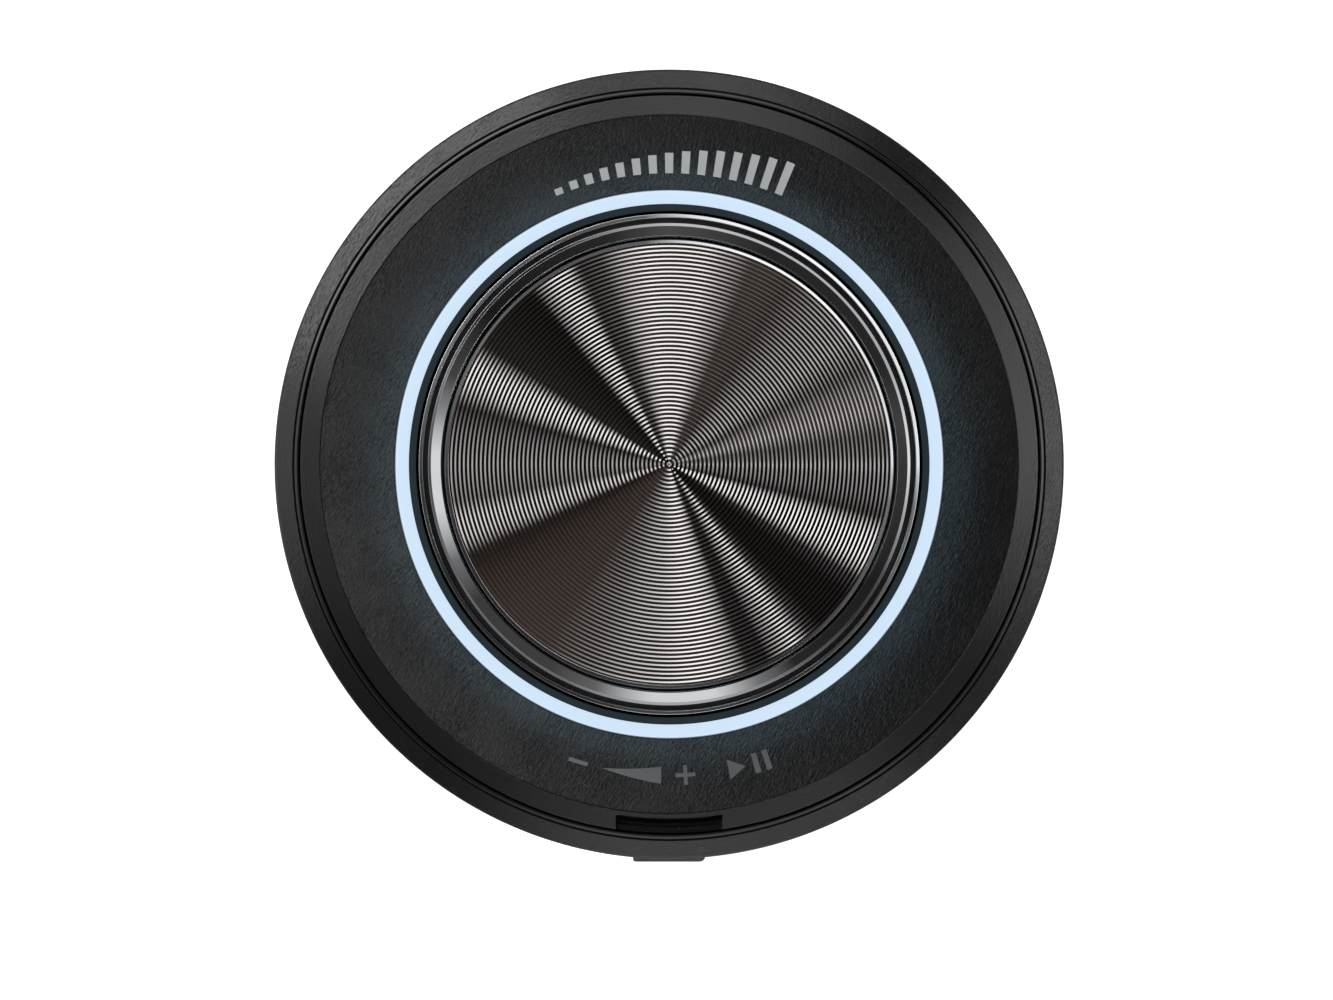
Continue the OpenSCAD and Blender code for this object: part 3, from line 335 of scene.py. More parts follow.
def outline_solid(outline, levels):
    """Solid over one closed outline (x, y), anticlockwise, at levels of (grow, z).

    Each level is the outline grown by an offset along its own normals. z may be an array.
    """
    p = np.asarray(outline, float)
    along = np.roll(p, -1, 0) - np.roll(p, 1, 0)
    normal = np.stack([along[:, 1], -along[:, 0]], -1)
    normal /= np.linalg.norm(normal, axis=1)[:, None]
    loops = [
        np.column_stack([p + grow * normal, np.broadcast_to(z, len(p))]) for grow, z in levels
    ]
    return skin(np.array(loops), "caps")


def rounded_box(width, length, corner, z0, z1, edge):
    """Box with round upright corners and chamfered ends, centred on the axis."""
    x, y = width / 2, length / 2
    outline = rounded([(x, y), (-x, y), (-x, -y), (x, -y)], corner, 5)
    return outline_solid(outline, [(-edge, z0), (0, z0 + edge), (0, z1 - edge), (-edge, z1)])


def arc_band(x, out_r, in_r):
    """Outline between two circles round the axis, on the -Y side: y = -sqrt(r^2 - x^2)."""
    return np.vstack([
        np.column_stack([x, -np.sqrt(out_r ** 2 - x ** 2)]),
        np.column_stack([x[::-1], -np.sqrt(in_r ** 2 - x[::-1] ** 2)])])


def threaded(r, depth, pitch, z0, z1, count, per_pitch=8):
    """Loops of an outer thread: the radius falls by depth * groove * fade along a helix.

    f is the fraction of z / pitch - t / TURN, so the thread climbs one pitch a turn. The groove is
    1.25 - 2.2 |2 f - 1|, kept between 0 and 1, and the fade takes it to nothing over the last half
    pitch at both ends.
    """
    rows = max(int((z1 - z0) / pitch * per_pitch), 2)
    z = np.linspace(z0, z1, rows)[:, None]
    f = np.mod(z / pitch - np.arange(count) / count, 1)
    groove = np.clip(1.25 - 2.2 * np.abs(2 * f - 1), 0, 1)
    fade = np.clip(np.minimum(z - z0, z1 - z) / (pitch / 2), 0, 1)
    return round_loops(r - depth * groove * fade, z)


def hex_wall(flats, z0, z1, chamfer, count):
    """Loops up a hexagon's sides, with its corners turned off by a 30 degree cone at both ends.

    The radius is half the flats over the cosine of the angle from the nearest flat, cut at the
    corners to 1.13 times half the flats.
    """
    t = np.arange(count) * TURN / count
    r = np.minimum(flats / 2 / np.cos(np.mod(t, np.pi / 3) - np.pi / 6), flats / 2 * 1.13)
    cone_r = np.full(count, flats / 2 - chamfer)
    drop = (r - cone_r) * math.tan(math.radians(30))
    z = np.array([np.full(count, z0), z0 + drop, z1 - drop, np.full(count, z1)])
    return round_loops(np.array([cone_r, r, r, cone_r]), z)


def hex_nut(node, flats, chamfer, bore, count):
    """Hexagon nut as tall as its node, with a 0.2 mm chamfer at both ends of its bore."""
    z0, z1 = low(node)[2], high(node)[2]
    inside = [(bore + 0.2, z1), (bore, z1 - 0.2), (bore, z0 + 0.2), (bore + 0.2, z0)]
    return skin(np.concatenate([
        hex_wall(flats, z0, z1, chamfer, count), ring_loops(inside, count)]), "join")


# Meshes and Blender objects


def mesh_of(name, shape, scale=MM):
    """Mesh with a shape's points, in metres, and its faces."""
    mesh = bpy.data.meshes.new(name)
    mesh.from_pydata((shape[0] * scale).tolist(), [], shape[1].tolist() + shape[2].tolist())
    mesh.validate()
    return mesh


def carved(shape, others, operation="DIFFERENCE"):
    """A shape with others taken away or joined, by exact booleans worked out in millimetres."""
    parts = [bpy.data.objects.new("part", mesh_of("part", s, 1.0)) for s in [shape, *others]]
    for part in parts:
        bpy.context.scene.collection.objects.link(part)
    for part in parts[1:]:
        step = parts[0].modifiers.new("cut", "BOOLEAN")
        step.operation = operation
        step.solver = "EXACT"
        step.object = part
    bpy.context.view_layer.update()
    ready = parts[0].evaluated_get(bpy.context.evaluated_depsgraph_get())
    mesh = bpy.data.meshes.new_from_object(ready)
    mesh.calc_loop_triangles()
    points, tris = np.zeros(len(mesh.vertices) * 3), np.zeros(len(mesh.loop_triangles) * 3, int)
    mesh.vertices.foreach_get("co", points)
    mesh.loop_triangles.foreach_get("vertices", tris)
    if not len(tris):
        raise RuntimeError("a boolean left nothing")
    bpy.data.meshes.remove(mesh)
    for part in parts:
        old = part.data
        bpy.data.objects.remove(part)
        bpy.data.meshes.remove(old)
    return points.reshape(-1, 3), np.zeros((0, 4), int), tris.reshape(-1, 3)


def piece(name, made, finishes, body, nodes=(), sharp=32, pick=None):
    """Object for one piece, from its shape and finishes, riding on a body and standing for its nodes.

    pick(r, z, up) gives the material number of each face from its radius, height and the Z part
    of its normal.
    """
    mesh = mesh_of(name, made)
    for finish_name in [finishes] if isinstance(finishes, str) else finishes:
        mesh.materials.append(finish(finish_name))
    if pick:
        count = len(mesh.polygons)
        centre, normal = np.zeros(count * 3), np.zeros(count * 3)
        mesh.polygons.foreach_get("center", centre)
        mesh.polygons.foreach_get("normal", normal)
        centre, normal = centre.reshape(-1, 3) / MM, normal.reshape(-1, 3)
        number = pick(np.hypot(centre[:, 0], centre[:, 1]), centre[:, 2], normal[:, 2])
        mesh.polygons.foreach_set("material_index", np.asarray(number, int))
    mesh.shade_smooth()
    mesh.set_sharp_from_angle(angle=math.radians(sharp))
    made_object = bpy.data.objects.new(name, mesh)
    bpy.context.scene.collection.objects.link(made_object)
    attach(made_object, body)
    if nodes:
        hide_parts(*nodes)
    return made_object


def finish_nodes(finish_name, *nodes):
    """Give CAD nodes whose shape is right their finished material."""
    material = finish(finish_name)
    for node in nodes:
        shown = next(o for o in bpy.context.scene.objects if o.get("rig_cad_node") == node)
        for place in shown.material_slots:
            place.material = material
        if not shown.material_slots:
            shown.data.materials.append(material)


# Materials


def linear(colour):
    """Linear RGBA of an sRGB hex value such as "#2b2b2d"."""
    part = np.array([int(colour[i:i + 2], 16) / 255 for i in (1, 3, 5)])
    part = np.where(part <= 0.04045, part / 12.92, ((part + 0.055) / 1.055) ** 2.4)
    return (*part.tolist(), 1.0)


def add(material, kind, inputs=None, **settings):
    """Add a node, with its settings, and fill its sockets with values or (node, output) pairs."""
    tree = material.node_tree
    node = tree.nodes.new(kind)
    for key, value in settings.items():
        setattr(node, key, value)
    for key, value in (inputs or {}).items():
        if isinstance(value, tuple) and isinstance(value[0], bpy.types.Node):
            tree.links.new(value[0].outputs[value[1]], node.inputs[key])
        else:
            node.inputs[key].default_value = value
    return node


def started(name, **sockets):
    """New material with one Principled shader, whose sockets are set, and its Object coordinates."""
    material = bpy.data.materials.new(name)
    material.use_nodes = True
    material.node_tree.nodes.clear()
    shader = add(material, "ShaderNodeBsdfPrincipled", {k.replace("_", " "): v for k, v in sockets.items()})
    add(material, "ShaderNodeOutputMaterial", {"Surface": (shader, "BSDF")})
    where = add(material, "ShaderNodeTexCoord")
    return material, shader, (where, "Object")


def feed(material, shader, socket, source):
    """Link a (node, output) pair to a socket of the shader."""
    material.node_tree.links.new(source[0].outputs[source[1]], shader.inputs[socket])


def radius_of(material, where):
    """Distance from the Z axis, in metres: the length of (x, y, 0)."""
    flat = add(material, "ShaderNodeVectorMath", {0: where, 1: (1, 1, 0)}, operation="MULTIPLY")
    return add(material, "ShaderNodeVectorMath", {0: (flat, 0)}, operation="LENGTH"), 1


def stepped(material, source, start, end, low_value, high_value):
    """Smooth step of a value between two limits."""
    return add(material, "ShaderNodeMapRange", {
        "Value": source, "From Min": start, "From Max": end, "To Min": low_value, "To Max": high_value,
    }, interpolation_type="SMOOTHSTEP"), "Result"


def speckled(name, colour, roughness, grain_mm, depth_mm, **sockets):
    """Matt surface with a fine even texture: noise of the grain's size drives its bump.

    A slower noise, about 6 mm across, moves the roughness up and down a little.
    """
    material, shader, where = started(name, Base_Color=linear(colour), Roughness=roughness, **sockets)
    grain = add(material, "ShaderNodeTexNoise", {
        "Vector": where, "Scale": 1 / (grain_mm * MM), "Detail": 2.0, "Roughness": 0.6})
    bump = add(material, "ShaderNodeBump", {
        "Height": (grain, 0), "Distance": depth_mm * MM, "Strength": 1.0})
    feed(material, shader, "Normal", (bump, 0))
    cloud = add(material, "ShaderNodeTexNoise", {"Vector": where, "Scale": 160.0, "Detail": 3.0})
    rough = add(material, "ShaderNodeMapRange", {
        "Value": (cloud, 0), "From Min": 0.3, "From Max": 0.7,
        "To Min": roughness - 0.06, "To Max": roughness + 0.06})
    feed(material, shader, "Roughness", (rough, 0))
    return material


def leather_grained(name, crest, shaded_pit, roughness, masks, depth_mm, **sockets):
    """ABS moulded in an etched tool: a leather grain of short slanting wrinkles.

    masks(material, where) gives the grain's share. The wrinkles are noise drawn out along one slant,
    0.16 mm apart and three times as long, and a slow noise lets them rise and fade in patches. Their
    crests are rubbed a little paler, and their pits are darkened with painted shade.
    """
    material, shader, where = started(name, Roughness=roughness, IOR=1.5, **sockets)
    slant = add(material, "ShaderNodeMapping", {
        "Vector": where, "Rotation": (0, 0, math.radians(57)),
        "Scale": (0.46 * MM, 0.16 * MM, 0.16 * MM)}, vector_type="TEXTURE")
    wrinkles = add(material, "ShaderNodeTexNoise", {
        "Vector": (slant, 0), "Scale": 1.0, "Detail": 1.5, "Roughness": 0.5, "Distortion": 0.9})
    patches = add(material, "ShaderNodeTexNoise", {"Vector": where, "Scale": 1 / (4.5 * MM), "Detail": 1.0})
    patches = add(material, "ShaderNodeMapRange", {
        "Value": (patches, 0), "From Min": 0.35, "From Max": 0.65, "To Min": 0.6, "To Max": 1.0})
    share = masks(material, where)
    strength = add(material, "ShaderNodeMath", {0: share, 1: (patches, 0)}, operation="MULTIPLY")
    bump = add(material, "ShaderNodeBump", {
        "Height": (wrinkles, 0), "Distance": depth_mm * MM, "Strength": (strength, 0)})
    feed(material, shader, "Normal", (bump, 0))
    height = add(material, "ShaderNodeMapRange", {
        "Value": (wrinkles, 0), "From Min": 0.36, "From Max": 0.64, "To Min": -0.5, "To Max": 0.5})
    height = add(material, "ShaderNodeMath", {
        0: (height, 0), 1: (strength, 0), 2: 0.5}, operation="MULTIPLY_ADD")
    # Painted shade in the pits: the colour runs from the darker pit colour where the wrinkles sink to the
    # paler, rubbed crest colour
    tone = add(material, "ShaderNodeMix", {
        "Factor": (height, 0), "A": linear(shaded_pit), "B": linear(crest)}, data_type="RGBA")
    feed(material, shader, "Base Color", (tone, 2))
    gloss = add(material, "ShaderNodeMapRange", {
        "Value": share, "To Min": roughness - 0.02, "To Max": roughness + 0.02})
    feed(material, shader, "Roughness", (gloss, 0))
    return material


def rim_mask(material, where):
    """Under half the grain on the rim's cone and outer wall, and none inside the lip."""
    start, end = RIM_GROOVE_R - 0.11, RIM_GROOVE_R + 0.04
    return stepped(material, radius_of(material, where), start * MM, end * MM, 0.0, 0.45)


def fascia_mask(material, where):
    """Full grain on the fascia, inside the fine groove, and under half of it on the bevel."""
    start, end = FASCIA_OUT_R - 0.01, FASCIA_OUT_R + 0.07
    return stepped(material, radius_of(material, where), start * MM, end * MM, 1.0, 0.4)


def turned_metal(name, colour, roughness, scratch_mm=0.12, depth_mm=0.0006, **sockets):
    """Metal cut on a lathe: fine tool lines that run round the axis, as noise of the radius and height."""
    material, shader, where = started(
        name, Base_Color=linear(colour), Roughness=roughness, Metallic=1.0, **sockets)
    split = add(material, "ShaderNodeSeparateXYZ", {"Vector": where})
    lines = add(material, "ShaderNodeCombineXYZ", {"X": radius_of(material, where), "Y": (split, "Z")})
    noise = add(material, "ShaderNodeTexNoise", {
        "Vector": (lines, 0), "Scale": 1 / (scratch_mm * MM), "Detail": 2.0}, noise_dimensions="2D")
    bump = add(material, "ShaderNodeBump", {"Height": (noise, 0), "Distance": depth_mm * MM})
    feed(material, shader, "Normal", (bump, 0))
    cloud = add(material, "ShaderNodeTexNoise", {"Vector": where, "Scale": 220.0, "Detail": 3.0})
    rough = add(material, "ShaderNodeMapRange", {
        "Value": (cloud, 0), "From Min": 0.3, "From Max": 0.7,
        "To Min": roughness * 0.8, "To Max": roughness * 1.25})
    feed(material, shader, "Roughness", (rough, 0))
    return material


def lit_polycarbonate(colours):
    """Light guide of frosted polycarbonate: an even cool glow, with a soft satin face."""
    material, shader, where = started(
        "polycarbonate_frosted", Base_Color=linear("#30363b"), Roughness=0.5, IOR=1.58,
        Emission_Color=(*colours.ring_light, 1.0), Emission_Strength=colours.ring_strength)
    frost = add(material, "ShaderNodeTexNoise", {"Vector": where, "Scale": 1 / (0.08 * MM), "Detail": 2.0})
    bump = add(material, "ShaderNodeBump", {"Height": (frost, 0), "Distance": 0.004 * MM})
    feed(material, shader, "Normal", (bump, 0))
    return material


def circuit_board():
    """Glass-epoxy laminate under green solder mask: glossy, with copper runs that show as a paler green."""
    material, shader, where = started(
        "laminate_solder_masked", Roughness=0.28, IOR=1.52, Coat_Weight=0.3, Coat_Roughness=0.15)
    runs = add(material, "ShaderNodeTexBrick", {
        "Vector": where, "Color1": linear("#1c5a36"), "Color2": linear("#1f643c"),
        "Mortar": linear("#2f7d4c"), "Scale": 1 / (3.2 * MM), "Mortar Size": 0.03,
        "Brick Width": 0.9, "Row Height": 0.35})
    feed(material, shader, "Base Color", (runs, "Color"))
    bump = add(material, "ShaderNodeBump", {"Height": (runs, "Fac"), "Distance": 0.02 * MM})
    feed(material, shader, "Normal", (bump, 0))
    return material


FINISHES = {}


def finish(name):
    """The named finish, made once."""
    if name not in FINISHES:
        FINISHES[name] = MAKERS[name]()
    return FINISHES[name]


# The leather-grained finishes take a crest colour and a pit colour; the darker pit colour is painted shade
# in the grain's hollows
MAKERS = {
    # Injection-moulded black ABS, polished with a trace of the etched leather grain on the rim
    "housing_abs": lambda: leather_grained(
        "abs_moulded_housing", "#101011", "#0a0a0b", 0.19, rim_mask, 0.05),
    # The same ABS on the face cover's bevel and skirts, from the polished part of the tool
    "cover_abs": lambda: leather_grained(
        "abs_moulded_cover", "#101011", "#0a0a0b", 0.19, fascia_mask, 0.04),
    # The fascia: full leather grain with the dull face of etched plastic
    "fascia_abs": lambda: leather_grained(
        "abs_moulded_fascia", "#111113", "#020202", 0.36, fascia_mask, 0.14, Specular_IOR_Level=0.17),
    # Plain moulded ABS from a spark-eroded tool: dull, very finely pitted
    "plain_abs": lambda: speckled("abs_moulded_plain", "#1c1c1e", 0.55, 0.09, 0.012, IOR=1.54),
    # Pad-printed ink: thin, matt and slightly uneven
    "pale_ink": lambda: speckled("ink_pad_printed_pale", "#b4b7b8", 0.6, 0.15, 0.003),
    "grey_ink": lambda: speckled("ink_pad_printed_grey", "#707375", 0.6, 0.15, 0.003),
    # Dark anodised aluminium: the dyed oxide kills most of the shine but keeps soft highlights
    "cap_metal": lambda: turned_metal("aluminium_anodised_dark", "#77797c", 0.34),
    # Edge cut with a diamond after anodising: bare and mirror-bright
    "cut_edge": lambda: turned_metal("aluminium_diamond_cut", "#dfe0e2", 0.05, 0.12, 0.0001),
    # Shoulder polished before a thin dark dye: reflections stay sharp but darker
    "shoulder_metal": lambda: turned_metal("aluminium_polished_dark", "#9a9b9d", 0.035, 0.15, 0.0001),
    # Disc turned with a round-nosed tool, then dyed gunmetal: the grooves spread light into fans
    "inlay_metal": lambda: turned_metal("aluminium_turned_gunmetal", "#a39a96", 0.05, 0.1, 0.0001),
    # Nitrile rubber, moulded: dull, with a dusty bloom
    "rubber": lambda: speckled("rubber_nitrile_moulded", "#161617", 0.72, 0.2, 0.01),
    # Glass-filled nylon: matt with faint pale flecks of fibre
    "nylon": lambda: speckled("nylon_glass_filled", "#1d1d1e", 0.5, 0.25, 0.012, IOR=1.53),
    # Zinc-plated rolled steel: bright grey with a soft spread shine
    "zinc_steel": lambda: turned_metal("steel_zinc_plated", "#b7babd", 0.3),
    # Zinc alloy, die cast and turned
    "zinc": lambda: turned_metal("zinc_diecast_turned", "#a3a6a9", 0.26),
    # Hard-drawn spring wire, oil finished
    "spring_steel": lambda: turned_metal("steel_spring_wire", "#9c9fa3", 0.22),
    # Phosphor bronze strip, rolled
    "bronze": lambda: turned_metal("bronze_rolled_strip", "#c3a36b", 0.28),
    # Gold flash over nickel: warm and clear
    "gold": lambda: turned_metal("contact_gold_plated", "#e0b65c", 0.2),
    # Drawn aluminium can with a brushed lid
    "can": lambda: turned_metal("aluminium_drawn_can", "#c5c8ca", 0.3),
    # Epoxy moulding compound of chips: matt black with a faint sparkle of filler
    "chip_resin": lambda: speckled("epoxy_chip_moulded", "#19191a", 0.6, 0.06, 0.006),
    # Phenolic resin of the encoder's case: dense, slightly glossy, blue-black
    "case_resin": lambda: speckled("phenolic_case_moulded", "#252a31", 0.42, 0.12, 0.006),
    # Acetal: waxy white with a soft sheen
    "acetal": lambda: speckled("acetal_moulded", "#e4e2d8", 0.38, 0.3, 0.004, Subsurface_Weight=0.1),
    # Nylon of connectors: off-white, faintly translucent
    "header_nylon": lambda: speckled("nylon_connector_moulded", "#e2dccb", 0.45, 0.2, 0.006),
    # White reflective polycarbonate of the shroud
    "shroud_white": lambda: speckled("polycarbonate_white_moulded", "#e9e9e6", 0.5, 0.15, 0.006),
    # Yellow phosphor gel of the lamps, in a white frame
    "lamp_gel": lambda: speckled("lamp_phosphor_gel", "#e8e2b0", 0.35, 0.1, 0.004),
    # Double-sided adhesive film on its paper-white carrier
    "film": lambda: speckled("acrylic_adhesive_film", "#d8d8d0", 0.5, 0.4, 0.006),
    "board": circuit_board,
    # Frosted polycarbonate of the lit ring
    "lit_ring": lambda: lit_polycarbonate(bpy.context.scene.control_colours),
}


# The pieces


def make_housing(sizes):
    """Housing: one turned section, four pillars, and holes for screws, pegs and light-guide legs.

    From the outside in, the front of the section is a cone, a fine groove, the rounded lip, the
    face cover's pocket, the collar round the well, and the well's floor. The tab at the bottom
    carries the cone on.
    """
    pocket_r = RIM_R - sizes.rim_width / MM
    lip_z = lip_top()
    barrel_r = RING_R + sizes.barrel_wall / MM
    edge_r, edge_z = RIM_R - 0.15, 3.25
    groove_r, groove_z = RIM_GROOVE_R, 4.21
    well_r, bore = FOOT_R + 0.2, 4.55
    collar_r, collar_z = well_r + 0.58, RING_TOP_Z - 0.12
    section = rounded([
        (bore, FLANGE_Z), (RING_R, FLANGE_Z), (RING_R, REAR_Z), (barrel_r, REAR_Z), (barrel_r, FLANGE_Z),
        (RIM_R, FLANGE_Z), (RIM_R, edge_z - 0.13), (edge_r, edge_z), (groove_r, groove_z),
        (groove_r - 0.09, groove_z - 0.09), (groove_r - 0.13, groove_z + 0.05),
        (groove_r - 0.34, lip_z - 0.003), (groove_r - 0.41, lip_z - 0.01), (pocket_r, groove_z + 0.13),
        (pocket_r, FLOOR_Z), (collar_r, FLOOR_Z), (collar_r, collar_z), (well_r, collar_z),
        (well_r, FLOOR_Z), (bore, FLOOR_Z),
    ], [0.1, 0.2, 0.15, 0.25, 0.3, 0.3, 0.04, 0.06, 0.05, 0.04, 0.04, 0.04, 0.03, 0.06, 0.2, 0.2,
        0.07, 0.09, 0.4, 0.12], 4)
    shoulder_z = -1.0
    pillars = round_the_axis(plug(2.2, MAIN_BOARD_Z, shoulder_z + 0.1, 0.1, 40), PILLAR_ANGLES, PILLAR_R)
    roots = round_the_axis(plug(2.7, shoulder_z - 0.1, 1.4, 0.08, 40), PILLAR_ANGLES, PILLAR_R)
    half, in_y, out_y = 2.75, 1 - RIM_R, -0.22 - RIM_R
    tab = rounded([(half, in_y), (-half, in_y), (-half, out_y), (half, out_y)], [0.22, 0.22, 0.22, 0.5], 5)
    slope = (groove_z - edge_z) / (edge_r - groove_r)
    cone_z = edge_z - 0.01 - (np.hypot(tab[:, 0], tab[:, 1]) - edge_r) * slope
    tab = outline_solid(tab, [(-0.06, FLANGE_Z), (0, FLANGE_Z + 0.06), (0, cone_z - 0.05), (-0.04, cone_z)])
    mesh = carved(lathe(section, 256), [tab, roots, pillars], "UNION")
    hole, head = sizes.screw_hole / MM / 2, sizes.screw_head / MM / 2
    screw_cut = lathe([
        (hole, FLANGE_Z - 1), (hole, FLANGE_Z + 1.1), (head, FLOOR_Z), (head, FLOOR_Z + 1)], 48, "caps")
    peg_cut = plug(1.05, FLOOR_Z - 1.5, FLOOR_Z + 1, 0, 32)
    bore_cut = plug(1.0, MAIN_BOARD_Z - 1, MAIN_BOARD_Z + 6.5, 0, 32)
    leg_cut = rounded_box(0.72, 2.5, 0.1, FLANGE_Z - 1, FLOOR_Z + 0.6, 0.0001)
    cuts = union_of([
        round_the_axis(screw_cut, PILLAR_ANGLES, screw_circle()),
        round_the_axis(peg_cut, PEG_ANGLES, screw_circle()),
        round_the_axis(bore_cut, PILLAR_ANGLES, PILLAR_R),
        round_the_axis(leg_cut, LAMP_ANGLES, RING_IN_R + 0.305),
    ])
    piece("housing_shell", carved(mesh, [cuts]), "housing_abs", "housing", ["base_housing"],
          28)


def fascia_height_at(r, sizes):
    """Height of the fascia at a radius: a cone with a swell of 4 s (1 - s) over its width."""
    share = (FASCIA_OUT_R - r) / (FASCIA_OUT_R - FASCIA_IN_R)
    return (lip_top() + sizes.bevel_height / MM + sizes.fascia_height / MM * share
            + 4 * sizes.fascia_swell / MM * share * (1 - share))


def make_cover(sizes):
    """Face cover: one turned section with a swelling fascia, a lever slot cut in its bevel, and pegs."""
    lip_z = lip_top()
    bevel_r, bevel_z = COVER_R - sizes.bevel_width / MM, lip_z + sizes.bevel_height / MM
    groove_r, wall = bevel_r - 0.06, 0.7
    inner_r, roof_z, roof_low_z = RING_R + 0.05, 5.07, 3.71
    under = rounded([
        (inner_r, FLOOR_Z), (inner_r + wall, FLOOR_Z), (inner_r + wall, roof_z),
        (bevel_r, bevel_z - 1.15), (COVER_R - wall, roof_low_z), (COVER_R - wall, FLOOR_Z),
        (COVER_R, FLOOR_Z), (COVER_R, lip_z - 0.02), (COVER_R - 0.1, lip_z + 0.05), (bevel_r, bevel_z),
        (bevel_r - 0.03, bevel_z - 0.05), (groove_r, bevel_z - 0.05)],
        [0.1, 0.1, 0.3, 0.3, 0.3, 0.1, 0.1, 0.12, 0.08, 0.03, 0.01, 0.01], 4, closed=False)
    r = np.linspace(groove_r - 0.03, FASCIA_IN_R, 24)
    fascia = np.column_stack([r, fascia_height_at(r, sizes)])
    top_z = fascia[-1, 1]
    section = np.vstack([under, fascia, [[inner_r + 0.02, top_z - 0.03], [inner_r, top_z - 0.1]]])
    peg = plug(1.0, FLOOR_Z - 1.4, 5.0, 0.15, 32)
    mesh = carved(lathe(section, 256), [round_the_axis(peg, PEG_ANGLES, screw_circle())], "UNION")
    half = sizes.slot_width / MM / 2
    x = np.linspace(-half, half, 25)
    slot_r, slot_z = COVER_R - 0.42, FLOOR_Z + 0.45
    outline = arc_band(x, slot_r, slot_r - 0.7)
    around = np.hypot(outline[:, 0], outline[:, 1])
    bevel = lip_z + (COVER_R - around) * sizes.bevel_height / sizes.bevel_width
    slot = outline_solid(outline, [
        (0, slot_z), (0, bevel - 0.1), (0.07, bevel + 0.02), (0.07, bevel + 2)])
    sill = outline_solid(arc_band(x, COVER_R + 0.5, slot_r - 0.3), [
        (0, (slot_z + lip_z) / 2), (0.06, lip_z + 0.05), (0.06, lip_z + 1.4)])

    def pick(r, z, up):
        """Grained fascia inside the fine groove, smooth bevel and skirts outside it."""
        return ((r < groove_r) & (r > inner_r + 0.005) & (up > 0)).astype(int)

    piece("front_cover", carved(mesh, [slot, sill]), ["cover_abs", "fascia_abs"], "cover",
          ["face_cover"], 28, pick)
    make_print(sizes)


def mark(corners, sizes, lift=0.0):
    """Thin printed mark: corners of (angle in degrees, radius), laid on the fascia's own surface.

    Each side is split in eight, so that a long mark follows the face's curve. The area, half the
    sum of r r' sin(t' - t), is negative where the corners run clockwise, and then they are turned.
    The mark is sunk a little, and a lift keeps the top of a second mark off that of the first.
    """
    sunk, stand = 0.04, sizes.print_height / MM + lift
    p = np.asarray(corners, float)
    u = np.linspace(0, 1, 8, endpoint=False)[None, :, None]
    line = (p[:, None] * (1 - u) + np.roll(p, -1, 0)[:, None] * u).reshape(-1, 2)
    t, r = np.radians(line[:, 0]), line[:, 1]
    if np.sum(r * np.roll(r, -1) * np.sin(np.roll(t, -1) - t)) < 0:
        t, r = t[::-1], r[::-1]
    x, y, surface = r * np.cos(t), r * np.sin(t), fascia_height_at(r, sizes)
    points, quads, tris = skin(np.array([
        np.column_stack([x, y, surface - sunk]), np.column_stack([x, y, surface + stand])]))
    middle_r, middle_t = p[:, 1].mean(), math.radians(p[:, 0].mean())
    points[-2:, 0] = middle_r * math.cos(middle_t)
    points[-2:, 1] = middle_r * math.sin(middle_t)
    points[-2:, 2] = fascia_height_at(middle_r, sizes) + np.array([-sunk, stand])
    return points, quads, tris


def bar_mark(angle, width, r0, r1, sizes, lift=0.0):
    """Upright bar: its width is given in millimetres along the arc at its middle."""
    half = math.degrees(width / (r0 + r1))
    return mark([(angle + half, r0), (angle - half, r0), (angle - half, r1), (angle + half, r1)],
                sizes, lift)


def make_print(sizes):
    """Printed marks: a row of growing bars at the top, and minus, wedge, plus, play and pause below."""
    low_r = 22.0
    bars = zip(np.linspace(112, 68, 15), np.linspace(0.5, 2.6, 15))
    top = union_of([bar_mark(angle, 0.62, low_r, low_r + tall, sizes) for angle, tall in bars])
    piece("level_print", top, "pale_ink", "cover")
    r0, r1 = 22.75, 24.3
    mid, long, thick = (r0 + r1) / 2, 1.5, 0.3
    low_marks = [
        bar_mark(253, long, mid - thick / 2, mid + thick / 2, sizes),
        mark([(257.5, mid), (268.5, mid - 0.65), (268.5, mid + 0.65)], sizes),
        bar_mark(273, long, mid - thick / 2, mid + thick / 2, sizes),
        bar_mark(273, thick, mid - long / 2, mid + long / 2, sizes, 0.002),
        mark([(281, r1), (281, r0), (284.2, mid)], sizes),
        bar_mark(286.2, 0.42, r0, r1, sizes),
        bar_mark(288.3, 0.42, r0, r1, sizes),
    ]
    piece("function_print", union_of(low_marks), "grey_ink", "cover")


def make_ring():
    """Lit ring: a turned section with a rounded top, and twelve legs down to the lamps."""
    section = rounded([
        (RING_IN_R, FLOOR_Z), (RING_R, FLOOR_Z), (RING_R, RING_TOP_Z), (RING_IN_R, RING_TOP_Z)],
        [0.05, 0.05, 0.24, 0.24], 7)
    leg = rounded_box(0.62, 2.4, 0.1, low("light_ring")[2], FLOOR_Z + 0.5, 0.04)
    legs = round_the_axis(leg, LAMP_ANGLES, RING_IN_R + 0.31)
    mesh = carved(lathe(section, 256), [legs], "UNION")
    piece("light_guide", mesh, "lit_ring", "housing", ["light_ring"], 35)


